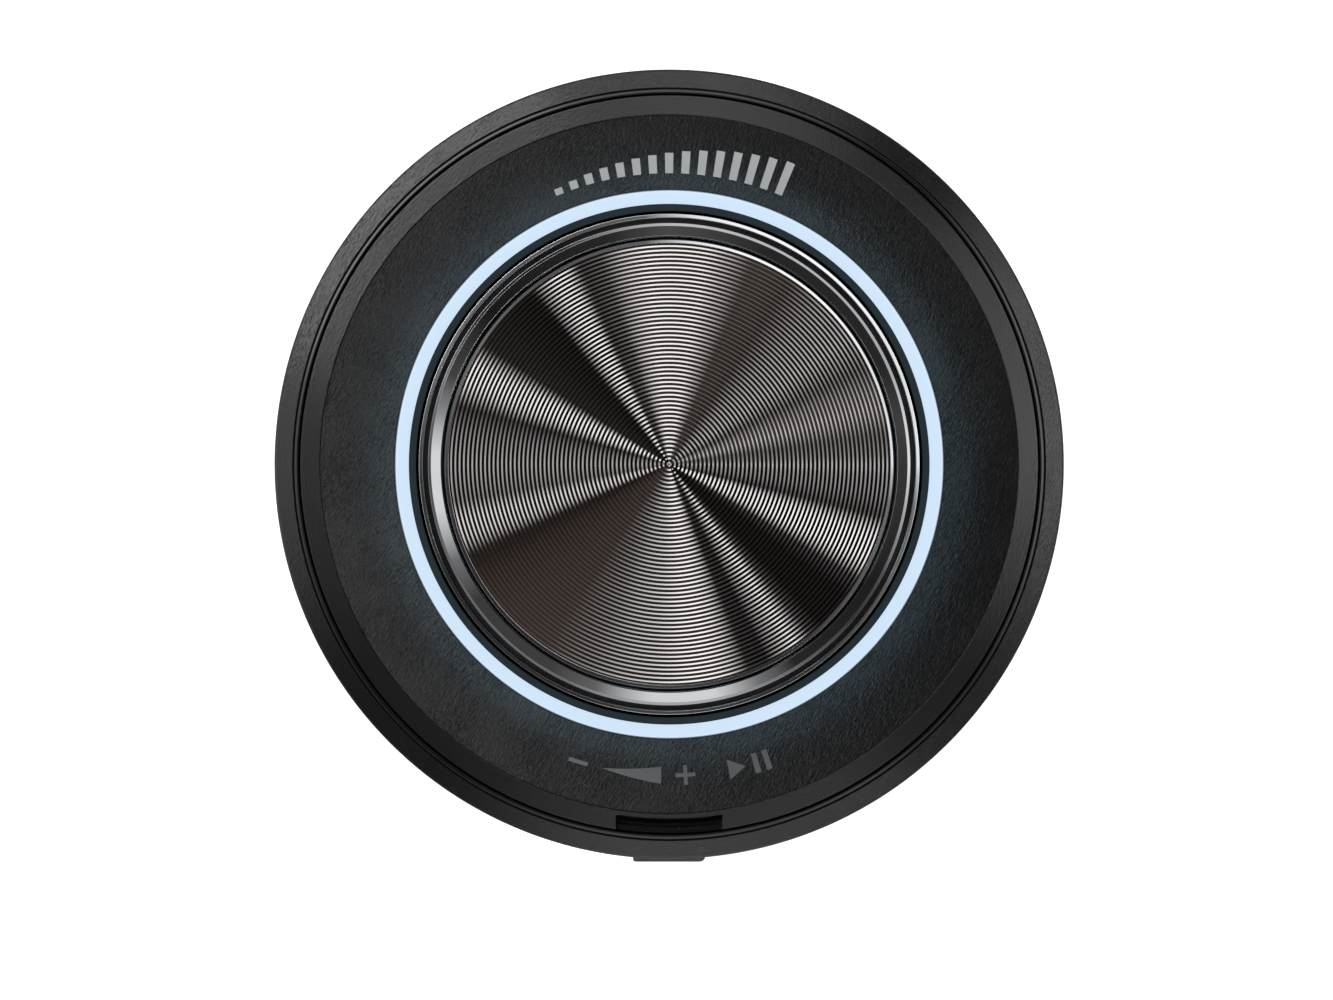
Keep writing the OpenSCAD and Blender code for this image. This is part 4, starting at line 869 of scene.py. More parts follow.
def cap_section(shoulder):
    """Section of the cap, from the middle of its underside round to the middle of its recess.

    The two heights given with it are those between which the grip has its flutes.
    """
    foot_face = FOOT_TOP_Z - 0.28
    low_z = KNOB_TOP_Z - shoulder
    flute_low, flute_top = FOOT_TOP_Z + 0.72, low_z - 0.4
    corners = [
        (0.6, CAP_WEB_Z), (GRIP_R - 1.5, CAP_WEB_Z), (GRIP_R - 1.5, FOOT_LOW_Z),
        (FOOT_R - 0.02, FOOT_LOW_Z), (FOOT_R, FOOT_TOP_Z - 0.14), (FOOT_R - 0.25, FOOT_TOP_Z),
        (FOOT_R - 0.3, FOOT_TOP_Z - 0.03), (FOOT_R - 0.31, foot_face), (GRIP_R + 0.16, foot_face),
        (GRIP_R, foot_face + 0.16), (GRIP_R, flute_low), (GRIP_R, flute_top), (GRIP_R, low_z),
        (GRIP_R - 0.21, low_z + 0.127), (GRIP_R - 0.58, low_z + 0.444), (GRIP_R - 0.965, KNOB_TOP_Z),
        (RECESS_R, KNOB_TOP_Z - 0.01), (RECESS_R, RECESS_Z), (0.6, RECESS_Z)]
    cuts = [0, 0.4, 0.2, 0.2, 0.012, 0.008, 0.02, 0.08, 0.08, 0.08, 0.02, 0.02,
            0.012, 0.006, 0.25, 0.012, 0.012, 0.05, 0]
    return rounded(corners, cuts, 3, closed=False), flute_low, flute_top


def make_cap(sizes):
    """Knob cap: a turned section whose grip is cut by flutes of depth (1 - cos(n t)) / 2.

    The flutes fade in and out over 0.35 mm at both ends of the grip, where the section gets more
    points.
    """
    section, flute_low, flute_top = cap_section(sizes.shoulder_height / MM)
    fade = 0.35

    def on_grip(line):
        """Which points of a line of (r, z) lie on the fluted stretch."""
        r, z = line.T
        return (r > GRIP_R - 0.03) & (z >= flute_low - 0.01) & (z <= flute_top + 0.01)

    fluted = on_grip(section)
    first = np.argmax(fluted)
    z = np.concatenate([
        np.linspace(flute_low, flute_low + fade, 6), np.linspace(flute_top - fade, flute_top, 6)])
    grip = np.column_stack([np.full(len(z), GRIP_R), z])
    section = np.vstack([section[:first], grip, section[first + fluted.sum():]])
    r, z = section.T
    share = np.clip(np.minimum(z - flute_low, flute_top - z) / fade, 0, 1) * on_grip(section)
    share = share * share * (3 - 2 * share)
    count = sizes.flute_count * 6
    wave = (1 - np.cos(sizes.flute_count * np.arange(count) * TURN / count)) / 2
    radius = r[:, None] - sizes.flute_depth / MM * share[:, None] * wave
    low_z = KNOB_TOP_Z - sizes.shoulder_height / MM

    def pick(r, z, up):
        """Polished foot edge, dark shoulder, anodised rest."""
        number = np.zeros(len(r), int)
        number[(r > FOOT_R - 0.3) & (z > FOOT_TOP_Z - 0.16) & (up > 0.5)] = 1
        number[(r > RECESS_R) & (z > low_z)] = 2
        return number

    piece("knob_shell", skin(round_loops(radius, z[:, None])), ["cap_metal", "cut_edge", "shoulder_metal"],
          "knob", ["knob_cap"], 30, pick)


def make_inlay(sizes):
    """Inlaid disc: grooves with a wide outward flank of 19 degrees and a steep inward one of 26.

    Each groove is a valley of four straight runs: down the inward flank, a flat bottom, up the
    outward flank and a flat crest. The edge is one bright cut face of 29 degrees.
    """
    turned_r = INLAY_R - 0.3
    count = sizes.groove_count
    across = np.array([0.0, 0.28, 0.44, 0.83])
    drop = np.array([0.0, 1.0, 1.0, 0.0])
    face_z = INLAY_Z - 0.02
    s = (np.arange(count)[:, None] + across[None, :]).ravel()
    r = turned_r - s * turned_r / count
    z = face_z - sizes.groove_depth / MM * np.tile(drop, count)
    grooves = np.column_stack([r, z])[1:]
    grooves = grooves[grooves[:, 0] > 0.03]
    edge = rounded([
        (0.6, INLAY_LOW_Z), (INLAY_R - 0.02, INLAY_LOW_Z), (INLAY_R, INLAY_Z - 0.15),
        (INLAY_R - 0.27, INLAY_Z), (turned_r, face_z)], [0, 0.06, 0.03, 0.02, 0], 4, closed=False)
    section = np.vstack([edge, grooves])

    def pick(r, z, up):
        """Bright cut edge outside the turned face."""
        return ((r > turned_r - 0.01) & (z > INLAY_Z - 0.2)).astype(int)

    piece("knob_disc", lathe(section, 180, "caps"), ["inlay_metal", "cut_edge"],
          "knob", ["knob_inlay"], 12, pick)


def make_knob_inside():
    """Film, hub and split ring inside the cap."""
    finish_nodes("film", "inlay_film")
    finish_nodes("plain_abs", "knob_hub")
    finish_nodes("zinc_steel", "hub_clip")


def make_gasket():
    """Panel gasket: a flat ring with soft edges and four screw holes."""
    out_r, in_r = high("panel_gasket")[0], 23.18
    section = rounded([(in_r, 0), (out_r, 0), (out_r, FLANGE_Z), (in_r, FLANGE_Z)], 0.2, 5)
    hole = plug(1.45, -1, FLANGE_Z + 1, 0, 32)
    mesh = carved(lathe(section, 256), [round_the_axis(hole, PILLAR_ANGLES, screw_circle())])
    piece("flange_gasket", mesh, "rubber", "housing", ["panel_gasket"])


def make_rear():
    """Rear cover with its counterbored screw holes, its seal, and the four case screws."""
    low_z, plate_r = low("rear_cover")[2], high("rear_cover")[0]
    board_low = low("main_board")[2]
    spigot = RING_R - 0.1
    seal_r, seal_z = spigot - 0.9, REAR_Z + 0.8
    spigot_z = REAR_Z + 2.6
    section = rounded([
        (GLAND_HOLE_R, low_z), (plate_r, low_z), (plate_r, REAR_Z), (spigot, REAR_Z), (spigot, seal_z),
        (seal_r, seal_z), (seal_r, seal_z + 1), (spigot, seal_z + 1), (spigot, spigot_z),
        (spigot - 1.8, spigot_z), (spigot - 1.8, REAR_Z), (GLAND_HOLE_R, REAR_Z)],
        [0.15, 0.35, 0.08, 0.1, 0.08, 0.1, 0.1, 0.08, 0.2, 0.15, 0.3, 0.1], 5)
    legs = round_the_axis(plug(2.2, REAR_Z - 0.5, board_low, 0.1, 40), PILLAR_ANGLES, PILLAR_R)
    mesh = carved(lathe(section, 256), [legs], "UNION")
    seat = low_z + 1.3
    cut = lathe([(2.0, low_z - 1), (2.0, seat), (1.05, seat), (1.05, board_low + 1)], 40, "caps")
    mesh = carved(mesh, [round_the_axis(cut, PILLAR_ANGLES, PILLAR_R)])
    piece("back_plate", mesh, "plain_abs", "housing", ["rear_cover"], 30)
    finish_nodes("rubber", "rear_seal")
    make_screws(seat)


def make_screws(seat):
    """Pan-head screws: a domed head with a cross recess, and a shank with a climbing thread."""
    count = 48
    top = MAIN_BOARD_Z + 6
    head_r, shank = 1.9, 0.98
    head = ring_loops(rounded([
        (0.3, seat - 1.2), (1.1, seat - 1.17), (head_r - 0.1, seat - 0.85), (head_r, seat - 0.5),
        (head_r, seat), (shank, seat)], [0, 0.4, 0.3, 0.2, 0.08, 0.1], 4, closed=False), count)
    thread = threaded(shank, 0.16, 0.6, seat + 0.3, top - 0.7, count, per_pitch=7)
    tip = ring_loops([(shank - 0.12, top - 0.6), (0.45, top)], count)
    screw = skin(np.concatenate([head, thread, tip]))
    arm, half = 1.25, 0.25
    cross = [(arm, half), (half, half), (half, arm), (-half, arm), (-half, half), (-arm, half),
             (-arm, -half), (-half, -half), (-half, -arm), (half, -arm), (half, -half), (arm, -half)]
    recess = outline_solid(cross, [(0.02, seat - 2), (-0.05, seat - 0.62)])
    screw = carved(screw, [recess])
    piece("cover_screws", round_the_axis(screw, PILLAR_ANGLES, PILLAR_R), "zinc_steel", "housing",
          ["case_screws"], 30)


def make_gland(sizes):
    """Cable gland: hexagons with turned-off corners, threads that climb, and a rounded dome."""
    flats, pitch = sizes.hexagon / MM, sizes.thread_pitch / MM
    count = 120
    way_r, seat_r = 3.1, 4.35
    end, inner = low("gland_body")[2], high("gland_body")[2]
    hex_top = low("gland_washer")[2]
    hex_low = hex_top - 4
    sleeve_low, sleeve_top = low("gland_sleeve")[2], high("gland_sleeve")[2]
    body = np.concatenate([
        ring_loops([(seat_r, end + 0.1), (seat_r + 0.1, end), (5.3, end)], count),
        threaded(5.5, 0.3, pitch, end + 0.3, hex_low - 0.2, count),
        ring_loops([(5.5, hex_low)], count),
        hex_wall(flats, hex_low, hex_top, 0.25, count),
        ring_loops([(6.0, hex_top), (6.0, hex_top + 1)], count),
        threaded(6.0, 0.3, pitch, hex_top + 1.2, inner - 0.4, count),
        ring_loops([(5.8, inner), (way_r + 0.15, inner), (way_r, inner - 0.15),
                    (way_r, sleeve_top + 0.05), (seat_r, sleeve_top + 0.05)], count)])
    piece("gland_stem", skin(body, "join"), "nylon", "housing", ["gland_body"], 30)
    washer_r = 8.1
    washer = rounded([(GLAND_HOLE_R, hex_top), (washer_r, hex_top), (washer_r, REAR_LOW_Z),
                      (GLAND_HOLE_R, REAR_LOW_Z)], 0.2, 5)
    piece("gland_seal_washer", lathe(washer, 120), "rubber", "housing", ["gland_washer"])
    piece("gland_back_nut", hex_nut("gland_locknut", flats, 0.25, GLAND_HOLE_R, count), "nylon", "housing",
          ["gland_locknut"], 30)
    in_r, out_r, tall = 2.8, 4.3, 6.5
    sleeve = rounded([(in_r, sleeve_low), (out_r, sleeve_low), (out_r, sleeve_low + tall),
                      (in_r, sleeve_low + tall)], [0.35, 0.3, 0.2, 0.2], 5)
    piece("gland_grip_sleeve", lathe(sleeve, 96), "rubber", "housing", ["gland_sleeve"])
    nut_low, nut_top = low("gland_nut")[2], high("gland_nut")[2]
    mid = nut_top - 4
    dome = rounded([(flats / 2 - 0.25, mid), (flats / 2 - 0.5, mid - 0.9), (flats / 2 - 1.3, mid - 3),
                    (5.4, nut_low + 0.15), (4.9, nut_low), (3.4, nut_low), (way_r, nut_low + 0.3),
                    (way_r, sleeve_low), (seat_r, sleeve_low - 0.05), (seat_r, end - 0.05),
                    (5.35, end - 0.1), (5.35, nut_top - 0.3), (5.7, nut_top)],
                   [0, 0.5, 1.2, 0.5, 0.2, 0.2, 0.2, 0.1, 0.1, 0.1, 0.1, 0.1, 0.1], 5, closed=False)
    wall = hex_wall(flats, mid, nut_top, 0.25, count)[::-1]
    loops = np.concatenate([wall, ring_loops(dome[1:], count)])[::-1]
    piece("gland_dome_nut", skin(loops, "join"), "nylon", "housing", ["gland_nut"], 30)


def make_encoder():
    """Encoder: finished bushing and nut, and the materials of the pressed and moulded parts."""
    count = 96
    bush_low, bush_top = low("encoder_bushing")[2], high("encoder_bushing")[2]
    foot_r, thread_r, shaft_way_r = high("encoder_bushing")[0], 4.5, 3.05
    frame_z = high("encoder_case")[2] + 0.8
    loops = np.concatenate([
        ring_loops([(shaft_way_r, bush_low), (foot_r - 0.1, bush_low), (foot_r, bush_low + 0.1),
                    (foot_r, frame_z - 0.1), (foot_r - 0.1, frame_z), (thread_r, frame_z),
                    (thread_r, FLANGE_Z + 0.6)], count),
        threaded(thread_r, 0.25, 0.75, FLANGE_Z + 0.8, bush_top - 0.3, count),
        ring_loops([(4.3, bush_top), (4.1, bush_top), (4.0, bush_top - 0.1), (4.0, bush_top - 1.4),
                    (shaft_way_r, bush_top - 1.4)], count)])
    piece("shaft_bushing", skin(loops, "join"), "zinc", "housing", ["encoder_bushing"], 30)
    piece("bushing_nut", hex_nut("encoder_nut", 12, 0.2, 4.55, count), "zinc", "housing", ["encoder_nut"],
          30)
    finish_nodes("zinc_steel", "encoder_washer", "encoder_frame", "encoder_terminals")
    finish_nodes("zinc", "encoder_shaft")
    finish_nodes("case_resin", "encoder_case")
    finish_nodes("acetal", "encoder_rotor", "switch_plunger")
    finish_nodes("bronze", "click_spring", "switch_dome")
    finish_nodes("gold", "contact_fingers")
    finish_nodes("rubber", "shaft_seal")


def make_spring():
    """Return spring: a round wire carried along a helix.

    Centre line (R cos a, R sin a, z0 + climb a); the wire's section is turned with the helix's
    lean, and both ends are closed flat.
    """
    wire, curls, mean_r = 0.2, 4, 3.63
    z0, z1 = low("return_spring")[2] + wire, high("return_spring")[2] - wire
    a = np.linspace(0, curls * TURN, curls * 48 + 1)[:, None]
    k = (np.arange(12) * TURN / 12)[None, :]
    climb = (z1 - z0) / (curls * TURN)
    lean = math.atan(climb / mean_r)
    out, up = wire * np.cos(k), wire * np.sin(k)
    loops = np.stack([
        (mean_r + out) * np.cos(a) + up * math.sin(lean) * np.sin(a),
        (mean_r + out) * np.sin(a) - up * math.sin(lean) * np.cos(a),
        z0 + climb * a + up * math.cos(lean) + 0 * out], -1)
    points, quads, tris = skin(loops)
    spring = piece("knob_spring", (points, quads[:, ::-1], tris[:, ::-1]), "spring_steel",
                   "housing", ["return_spring"], 60)
    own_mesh(spring)


def make_boards():
    """Boards and what is on them: CAD shapes with their finished materials."""
    finish_nodes("board", "lamp_board", "main_board")
    finish_nodes("shroud_white", "light_shroud")
    finish_nodes("lamp_gel", "ring_lamps")
    finish_nodes("chip_resin", "board_link", "control_chip", "voltage_regulator")
    finish_nodes("gold", "board_link_pins", "wire_header_pins")
    finish_nodes("can", "capacitors", "crystal")
    finish_nodes("header_nylon", "wire_header")


# Studio


# Soft boxes of the dome, as seen from the part. Each band gives the angle off the zenith where it
# starts and ends, how softly, its strength, its tint, and its level at some azimuths, linear
# between them. Azimuths run anticlockwise from the photograph's right.
# A surface tilted by an angle shows what lies at twice that angle off the zenith, so each band is
# what one part of the face mirrors. The fans take two bands, because a ramp holds 32 stops.
BANDS = [
    # Fans on the turned disc: only the grooves' outward flanks show them, one bright line a groove
    {"span": (35.5, 43.5), "soft": 2, "strength": 3.2, "tint": "#f0f9ff", "levels": [
        (0, 0.3), (8, 0.15), (15, 0.48), (26, 0.15), (35, 0.44), (46, 0.34), (56, 0.06), (68, 0.05),
        (75, 0.48), (80, 0.9), (96, 0.97), (101, 0.68), (108, 0.13), (115, 0.04), (118.5, 0.88),
        (122, 0.88), (128, 0.01), (148, 0.02), (153, 0.9), (158, 0.88), (164, 0.03), (172, 0.25),
        (180, 0.38), (190, 0.22), (195, 0.72), (200, 0.6), (204, 0.01), (206, 0.0), (357, 0.0)]},
    {"span": (35.5, 43.5), "soft": 2, "strength": 3.2, "tint": "#f0f9ff", "levels": [
        (2, 0.0), (204, 0.0), (236, 0.02), (250, 0.25), (256, 0.42), (266, 0.62), (275, 0.97),
        (281, 1.0), (286, 0.72), (291, 0.04), (297, 0.03), (301, 0.4), (305, 0.9), (309, 0.08),
        (313, 0.01), (324, 0.01), (329, 0.06), (334, 0.92), (341, 0.92), (346, 0.06), (352, 0.24),
        (358, 0.3)]},
    # Brown sheen between the fans, on the grooves' outward flanks
    {"span": (1.5, 46), "soft": 1, "strength": 0.13, "tint": "#ffeae0", "levels": [
        (48, 0.0), (56, 0.7), (70, 0.7), (78, 0.0), (136, 0.0), (145, 0.1), (150, 0.0), (202, 0.0),
        (212, 0.8), (236, 1.0), (246, 0.3), (254, 0.0)]},
    # Brown sheen on the grooves' inward flanks, which face the other way
    {"span": (46.5, 54), "soft": 1, "strength": 0.13, "tint": "#ffeae0", "levels": [
        (24, 0.2), (44, 0.8), (56, 0.8), (66, 0.3), (86, 0.5), (102, 0.9), (112, 0.0), (180, 0.0),
        (188, 0.3), (195, 1.0), (201, 0.9), (207, 0.1), (232, 0.2), (245, 0.8), (256, 0.5), (282, 0.9),
        (288, 0.1), (310, 0.0), (325, 0.2), (345, 0.1), (356, 0.0)]},
    # Cut edges of the disc and the foot
    {"span": (57, 62.4), "soft": 1, "strength": 1.2, "tint": "#ffffff", "levels": [
        (0, 0.85), (20, 0.82), (45, 1.1), (70, 1.05), (84, 0.85), (96, 0.11), (125, 0.09), (150, 0.17),
        (170, 0.1), (185, 0.03), (210, 0.02), (250, 0.02), (270, 0.05), (300, 0.02), (325, 0.09),
        (350, 0.17), (357, 0.5)]},
    # Outer edge of the shoulder
    {"span": (62.6, 66), "soft": 1, "strength": 1.25, "tint": "#ffffff", "levels": [
        (0, 1.8), (10, 1.6), (22, 0.95), (60, 1.15), (88, 1.25), (100, 0.75), (116, 0.03), (143, 0.03),
        (158, 0.42), (182, 0.14), (200, 0.3), (245, 0.35), (262, 0.85), (280, 0.97), (300, 0.32),
        (320, 0.07), (333, 0.17), (350, 1.0)]},
    # Bevel of the face cover
    {"span": (66.6, 71.5), "soft": 1, "strength": 0.95, "tint": "#ffffff", "levels": [
        (0, 1.5), (22, 1.32), (45, 0.08), (56, 0.03), (70, 0.8), (82, 1.18), (104, 1.2), (112, 1.65),
        (158, 1.75), (169, 0.8), (190, 0.47), (212, 0.11), (238, 0.16), (262, 0.43), (282, 0.35),
        (296, 0.85), (312, 0.36), (330, 0.27), (350, 1.25)]},
    # Cone and lip of the rim
    {"span": (71.5, 80), "soft": 1, "strength": 1.25, "tint": "#ffffff", "levels": [
        (0, 2.3), (20, 2.1), (32, 1.55), (45, 0.03), (56, 0.01), (70, 1.15), (84, 1.5), (104, 1.55),
        (111, 3.3), (148, 4.2), (160, 3.6), (168, 1.2), (190, 0.5), (212, 0.06), (238, 0.1),
        (259, 1.0), (280, 0.78), (300, 1.15), (312, 0.45), (328, 0.35), (350, 1.8)]},
    # Chamfer of the shoulder
    {"span": (81, 88.5), "soft": 1, "strength": 1.0, "tint": "#ffffff", "levels": [
        (0, 0.1), (10, 0.14), (25, 0.05), (65, 0.05), (90, 0.19), (105, 0.05), (140, 0.02),
        (158, 0.15), (167, 0.7), (177, 1.95), (191, 1.95), (204, 0.45), (215, 0.12), (240, 0.14),
        (252, 0.35), (266, 1.9), (281, 1.9), (292, 0.5), (302, 0.05), (330, 0.03)]},
]


def make_world(level):
    """World: a dim dome with soft boxes for what lights the part, and plain white for the camera.

    The azimuth is atan2(y, x) and the off-zenith angle acos(z) of the direction. Each band is a
    ramp over the azimuth times a ramp over the off-zenith angle. Transmission rays see the white
    too, and so do glossy rays that leave level or downwards, as if the paper floor had no end.
    """
    world = bpy.data.worlds.new("studio_dome")
    bpy.context.scene.world = world
    world.use_nodes = True
    world.node_tree.nodes.clear()
    where = add(world, "ShaderNodeTexCoord")
    split = add(world, "ShaderNodeSeparateXYZ", {"Vector": (where, "Generated")})
    azimuth = add(world, "ShaderNodeMath", {0: (split, "Y"), 1: (split, "X")}, operation="ARCTAN2")
    azimuth = add(world, "ShaderNodeMath", {0: (azimuth, 0), 1: 1 / TURN}, operation="MULTIPLY")
    azimuth = add(world, "ShaderNodeMath", {0: (azimuth, 0), 1: 1.0, 2: 0.0}, operation="WRAP")
    off = add(world, "ShaderNodeMath", {0: (split, "Z")}, operation="ARCCOSINE")
    off = add(world, "ShaderNodeMath", {0: (off, 0), 1: 1 / math.pi}, operation="MULTIPLY")
    total = add(world, "ShaderNodeRGB")
    total.outputs[0].default_value = linear("#171514")
    for band in BANDS:
        places, levels = np.array(band["levels"]).T
        top = levels.max()
        seam = np.interp(360, [places[-1], places[0] + 360], [levels[-1], levels[0]]) / top
        stops = [(0.0, seam), *zip(places / 360, levels / top), (1.0, seam)]
        round_it = ramp_of(world, (azimuth, 0), stops)
        start, end = band["span"]
        half = band["soft"] / 2
        across = ramp_of(world, (off, 0), [
            (0.0, 0.0), ((start - half) / 180, 0.0), ((start + half) / 180, 1.0),
            ((end - half) / 180, 1.0), ((end + half) / 180, 0.0)])
        value = add(world, "ShaderNodeMath", {0: (round_it, 0), 1: (across, 0)}, operation="MULTIPLY")
        tint = np.array(linear(band["tint"])[:3]) * band["strength"] * top
        scaled = add(world, "ShaderNodeVectorMath", {0: tint, "Scale": (value, 0)}, operation="SCALE")
        total = add(world, "ShaderNodeVectorMath", {0: (total, 0), 1: (scaled, 0)}, operation="ADD")
    dome = add(world, "ShaderNodeBackground", {"Color": (total, 0), "Strength": level})
    white = add(world, "ShaderNodeBackground", {"Color": (1, 1, 1, 1), "Strength": 1.0})
    rays = add(world, "ShaderNodeLightPath")
    seen = add(world, "ShaderNodeMath", {
        0: (rays, "Is Camera Ray"), 1: (rays, "Is Transmission Ray")}, operation="MAXIMUM")
    under = add(world, "ShaderNodeMath", {0: (split, "Z"), 1: 0.015}, operation="LESS_THAN")
    glossy = add(world, "ShaderNodeMath", {0: (rays, "Is Glossy Ray"), 1: (under, 0)}, operation="MULTIPLY")
    seen = add(world, "ShaderNodeMath", {0: (seen, 0), 1: (glossy, 0)}, operation="MAXIMUM")
    mixed = add(world, "ShaderNodeMixShader", {0: (seen, 0), 1: (dome, 0), 2: (white, 0)})
    add(world, "ShaderNodeOutputWorld", {"Surface": (mixed, 0)})


def ramp_of(material, source, stops):
    """Colour ramp with grey stops of (position, value), linear between them."""
    ramp = add(material, "ShaderNodeValToRGB", {"Fac": source})
    elements = ramp.color_ramp.elements
    elements[0].position, elements[0].color = stops[0][0], (*[stops[0][1]] * 3, 1)
    elements.remove(elements[1])
    for position, value in stops[1:]:
        new = elements.new(min(max(position, 0), 1))
        new.color = (value, value, value, 1)
    return ramp


# Area lamps for plain soft light: place in metres, size, and power in watts
LAMPS = {
    "key": ((-0.65, 0.75, 0.9), 0.5, 6.0),
    "fill_front": ((0.15, -1.2, 0.5), 0.9, 4.0),
    "fill_right": ((1.2, 0.2, 0.45), 0.9, 3.4),
    "fill_back": ((0.3, 1.2, 0.4), 0.9, 3.4),
    "fill_left": ((-1.2, -0.4, 0.4), 0.9, 3.4),
}


def lamp_at(name, place, size, power):
    """Round area lamp at a place in metres, facing the part's middle, hidden from the camera."""
    lamp = bpy.data.lights.new(name, "AREA")
    lamp.shape, lamp.size, lamp.energy = "DISK", size, power
    shown = bpy.data.objects.new(name, lamp)
    shown.location = place
    away = np.array(place)
    shown.rotation_euler = (
        math.acos(away[2] / np.linalg.norm(away)), 0, math.atan2(away[1], away[0]) + RIGHT_ANGLE)
    shown.visible_camera = shown.visible_transmission = False
    bpy.context.scene.collection.objects.link(shown)
    return shown


def light_only(lamp, name):
    """Let a lamp light one piece alone, as a flag in a studio does."""
    group = bpy.data.collections.new(lamp.name + "_lights")
    group.objects.link(bpy.data.objects[name])
    lamp.light_linking.receiver_collection = group


def make_lamps(level, ring_light):
    """Soft lamps that light what is dull, a soft sheen on the face, and the lit ring's own glow.

    The dome alone shows in glossy pieces, so the first lamps are hidden from glossy rays. The
    sheen and the glow only show as gloss on the face, so they are hidden from diffuse rays.
    """
    for name, (place, size, power) in LAMPS.items():
        lamp_at(name, place, size, power * level).visible_glossy = False
    reach, height, size, power = 0.44, 0.66, 0.5, 2.6
    for side, azimuth in (("back", 130), ("left", 186), ("front", 242)):
        a = math.radians(azimuth)
        place = (reach * math.cos(a), reach * math.sin(a), height)
        sheen = lamp_at("face_sheen_" + side, place, size, power * level)
        sheen.visible_diffuse = False
        light_only(sheen, "front_cover")
    for name, radius, power, lit in (
            ("ring_glow", 22.9, 0.009, "front_cover"), ("well_glow", 22.3, 0.0015, "housing_shell")):
        glow = lamp_at(name, (0, 0, (RING_TOP_Z + 3) * MM), 2 * radius * MM, power)
        glow.rotation_euler = (0, 0, 0)
        glow.data.color = np.array(ring_light) * (0.75, 0.98, 0.98)
        glow.data.spread = math.radians(110)
        glow.visible_diffuse = False
        light_only(glow, lit)


def make_floor():
    """Pale floor just under the part: white by its own colour, lifted for the camera and reflections."""
    floor_r, thick = 2600, 20
    z = CAD_BOX[0][2] / MM - 0.02
    mesh = mesh_of("studio_floor", plug(floor_r, z - thick, z, 0, 96))
    floor = bpy.data.objects.new("studio_floor", mesh)
    bpy.context.scene.collection.objects.link(floor)
    material = bpy.data.materials.new("paper_matt_white")
    material.use_nodes = True
    material.node_tree.nodes.clear()
    # Matt paper sweep: no shine at all, with a faint felt texture
    where = add(material, "ShaderNodeTexCoord")
    felt = add(material, "ShaderNodeTexNoise", {"Vector": (where, "Object"), "Scale": 900.0})
    bump = add(material, "ShaderNodeBump", {"Height": (felt, 0), "Distance": 0.02 * MM})
    paper = add(material, "ShaderNodeBsdfDiffuse", {"Color": linear("#eeeeee"), "Normal": (bump, 0)})
    rays = add(material, "ShaderNodeLightPath")
    mirrored = add(material, "ShaderNodeMath", {
        0: (rays, "Is Glossy Ray"), 1: (rays, "Is Transmission Ray")}, operation="MAXIMUM")
    mirrored = add(material, "ShaderNodeMath", {0: (mirrored, 0), 1: 0.2}, operation="MULTIPLY")
    lift = add(material, "ShaderNodeMath", {0: (rays, "Is Camera Ray"), 1: 0.7}, operation="MULTIPLY")
    lift = add(material, "ShaderNodeMath", {0: (lift, 0), 1: (mirrored, 0)}, operation="ADD")
    glow = add(material, "ShaderNodeEmission", {"Strength": (lift, 0)})
    both = add(material, "ShaderNodeAddShader", {0: (paper, 0), 1: (glow, 0)})
    add(material, "ShaderNodeOutputMaterial", {"Surface": (both, 0)})
    mesh.materials.append(material)


def make_camera():
    """Camera straight in front of the face, framed as the photograph is.

    The width of view at the rim is the rim's diameter times the image's width over the face's
    width in it, and the shift puts the face's centre where it is in the photograph.
    """
    data = bpy.data.cameras.new("camera")
    data.sensor_width = 36
    data.sensor_fit = "HORIZONTAL"
    away, rim_z = 0.6, 3.1 * MM
    view_width = 2 * RIM_R * MM * IMAGE_WIDTH / FACE_WIDTH_PX
    data.lens = data.sensor_width * (away - rim_z) / view_width
    data.shift_x = (IMAGE_WIDTH / 2 - FACE_CENTRE_PX[0]) / IMAGE_WIDTH
    data.shift_y = -(IMAGE_HEIGHT / 2 - FACE_CENTRE_PX[1]) / IMAGE_WIDTH
    data.clip_start = 0.01
    camera = bpy.data.objects.new("camera", data)
    camera.location = (0, 0, away)
    bpy.context.scene.collection.objects.link(camera)
    bpy.context.scene.camera = camera


# Operators: one for each piece or group of like pieces, and one for the stage


class CONTROL_OT_stage(Operator):
    """Make the floor, the dome of soft boxes, the lamps and the camera"""
    bl_idname = "control.make_stage"
    bl_label = "Stage"

    def execute(self, context):
        colours = context.scene.control_colours
        context.scene.view_settings.view_transform = "Standard"
        make_floor()
        make_world(colours.studio_level)
        make_lamps(colours.studio_level, colours.ring_light)
        make_camera()
        return {"FINISHED"}


class CONTROL_OT_housing(Operator):
    """Make the housing"""
    bl_idname = "control.make_housing"
    bl_label = "Housing"

    def execute(self, context):
        make_housing(context.scene.control_housing)
        return {"FINISHED"}


class CONTROL_OT_gasket(Operator):
    """Make the panel gasket"""
    bl_idname = "control.make_gasket"
    bl_label = "Panel gasket"

    def execute(self, context):
        make_gasket()
        return {"FINISHED"}


class CONTROL_OT_cover(Operator):
    """Make the face cover and its printed marks"""
    bl_idname = "control.make_cover"
    bl_label = "Face cover"

    def execute(self, context):
        make_cover(context.scene.control_cover)
        return {"FINISHED"}


class CONTROL_OT_ring(Operator):
    """Make the lit ring"""
    bl_idname = "control.make_ring"
    bl_label = "Lit ring"

    def execute(self, context):
        make_ring()
        return {"FINISHED"}


class CONTROL_OT_knob(Operator):
    """Make the knob: cap, inlaid disc, film, hub and split ring"""
    bl_idname = "control.make_knob"
    bl_label = "Knob"

    def execute(self, context):
        make_cap(context.scene.control_knob)
        make_inlay(context.scene.control_knob)
        make_knob_inside()
        return {"FINISHED"}


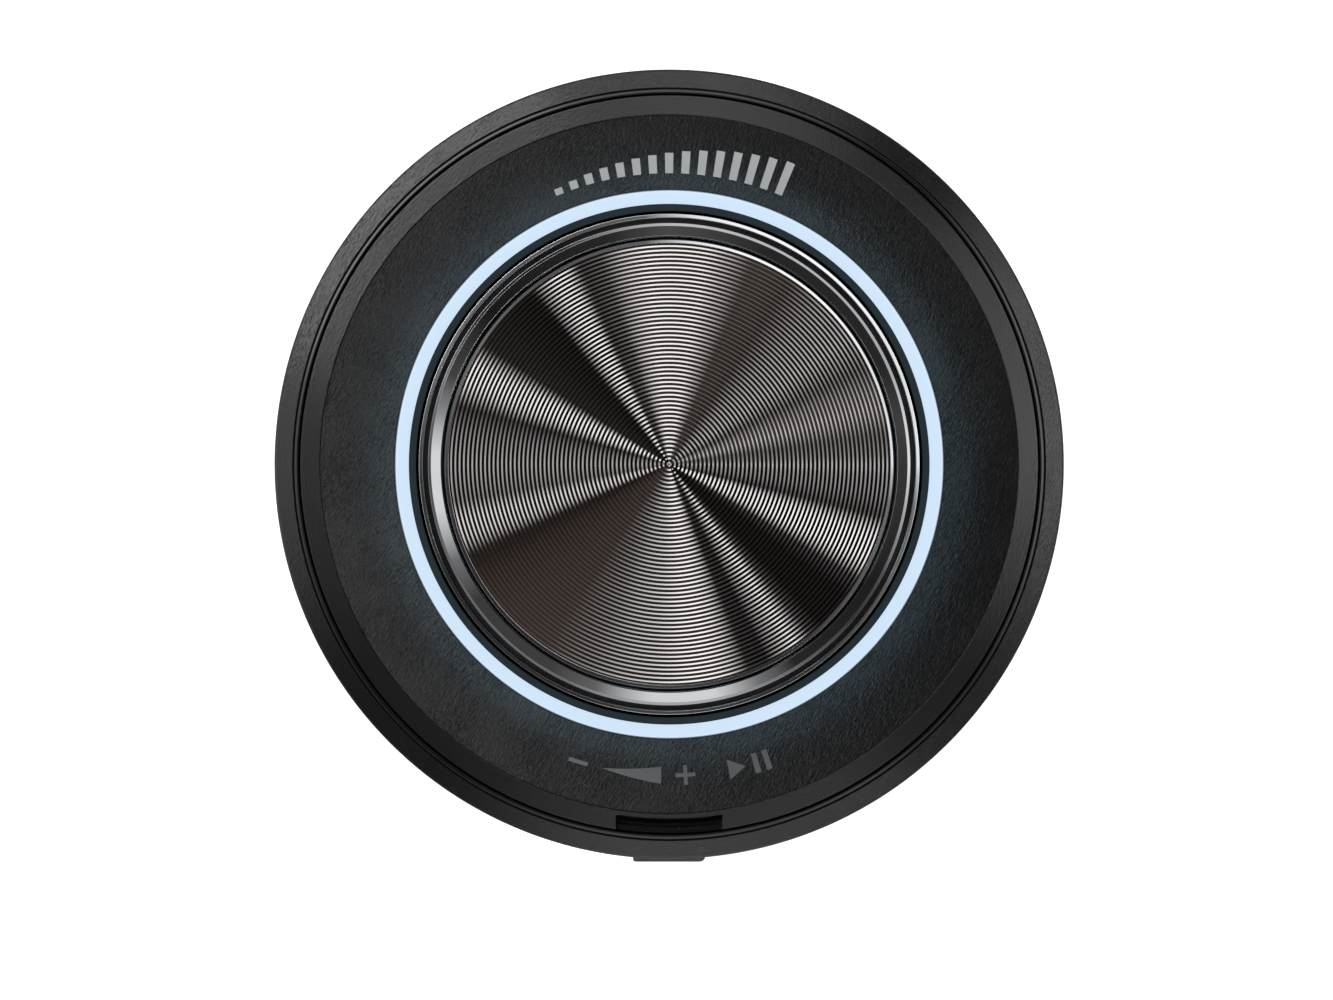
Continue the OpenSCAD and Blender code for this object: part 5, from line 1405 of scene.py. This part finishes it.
class CONTROL_OT_encoder(Operator):
    """Make the encoder's bushing, nut and moulded parts"""
    bl_idname = "control.make_encoder"
    bl_label = "Encoder"

    def execute(self, context):
        make_encoder()
        return {"FINISHED"}


class CONTROL_OT_spring(Operator):
    """Make the return spring under the knob's shaft"""
    bl_idname = "control.make_spring"
    bl_label = "Return spring"

    def execute(self, context):
        make_spring()
        return {"FINISHED"}


class CONTROL_OT_boards(Operator):
    """Finish the circuit boards and what is soldered to them"""
    bl_idname = "control.make_boards"
    bl_label = "Boards"

    def execute(self, context):
        make_boards()
        return {"FINISHED"}


class CONTROL_OT_rear(Operator):
    """Make the rear cover and its screws"""
    bl_idname = "control.make_rear"
    bl_label = "Rear cover"

    def execute(self, context):
        make_rear()
        return {"FINISHED"}


class CONTROL_OT_gland(Operator):
    """Make the cable gland"""
    bl_idname = "control.make_gland"
    bl_label = "Cable gland"

    def execute(self, context):
        make_gland(context.scene.control_gland)
        return {"FINISHED"}


OPERATORS = [
    CONTROL_OT_housing, CONTROL_OT_gasket, CONTROL_OT_cover, CONTROL_OT_ring, CONTROL_OT_knob,
    CONTROL_OT_encoder, CONTROL_OT_spring, CONTROL_OT_boards, CONTROL_OT_rear, CONTROL_OT_gland,
    CONTROL_OT_stage,
]


class CONTROL_PT_pieces(Panel):
    """Lists the pieces and their sizes"""
    bl_idname = "CONTROL_PT_pieces"
    bl_label = "Panel volume control"
    bl_space_type = "VIEW_3D"
    bl_region_type = "UI"
    bl_category = "Control"

    def draw(self, context):
        for name, group in GROUPS.items():
            box = self.layout.box()
            for size in group.__annotations__:
                box.prop(getattr(context.scene, name), size)
        for operator in OPERATORS:
            self.layout.operator(operator.bl_idname)


def register():
    """Register the classes and hang the sizes on the scene."""
    for kind in [*GROUPS.values(), *OPERATORS, CONTROL_PT_pieces]:
        bpy.utils.register_class(kind)
    for name, group in GROUPS.items():
        setattr(bpy.types.Scene, name, PointerProperty(type=group))


def unregister():
    """Take the classes and the sizes away again."""
    for name in GROUPS:
        delattr(bpy.types.Scene, name)
    for kind in reversed([*GROUPS.values(), *OPERATORS, CONTROL_PT_pieces]):
        bpy.utils.unregister_class(kind)


def main():
    register()
    for operator in OPERATORS:
        group, name = operator.bl_idname.split(".")
        getattr(getattr(bpy.ops, group), name)()


if __name__ == "__main__":
    main()
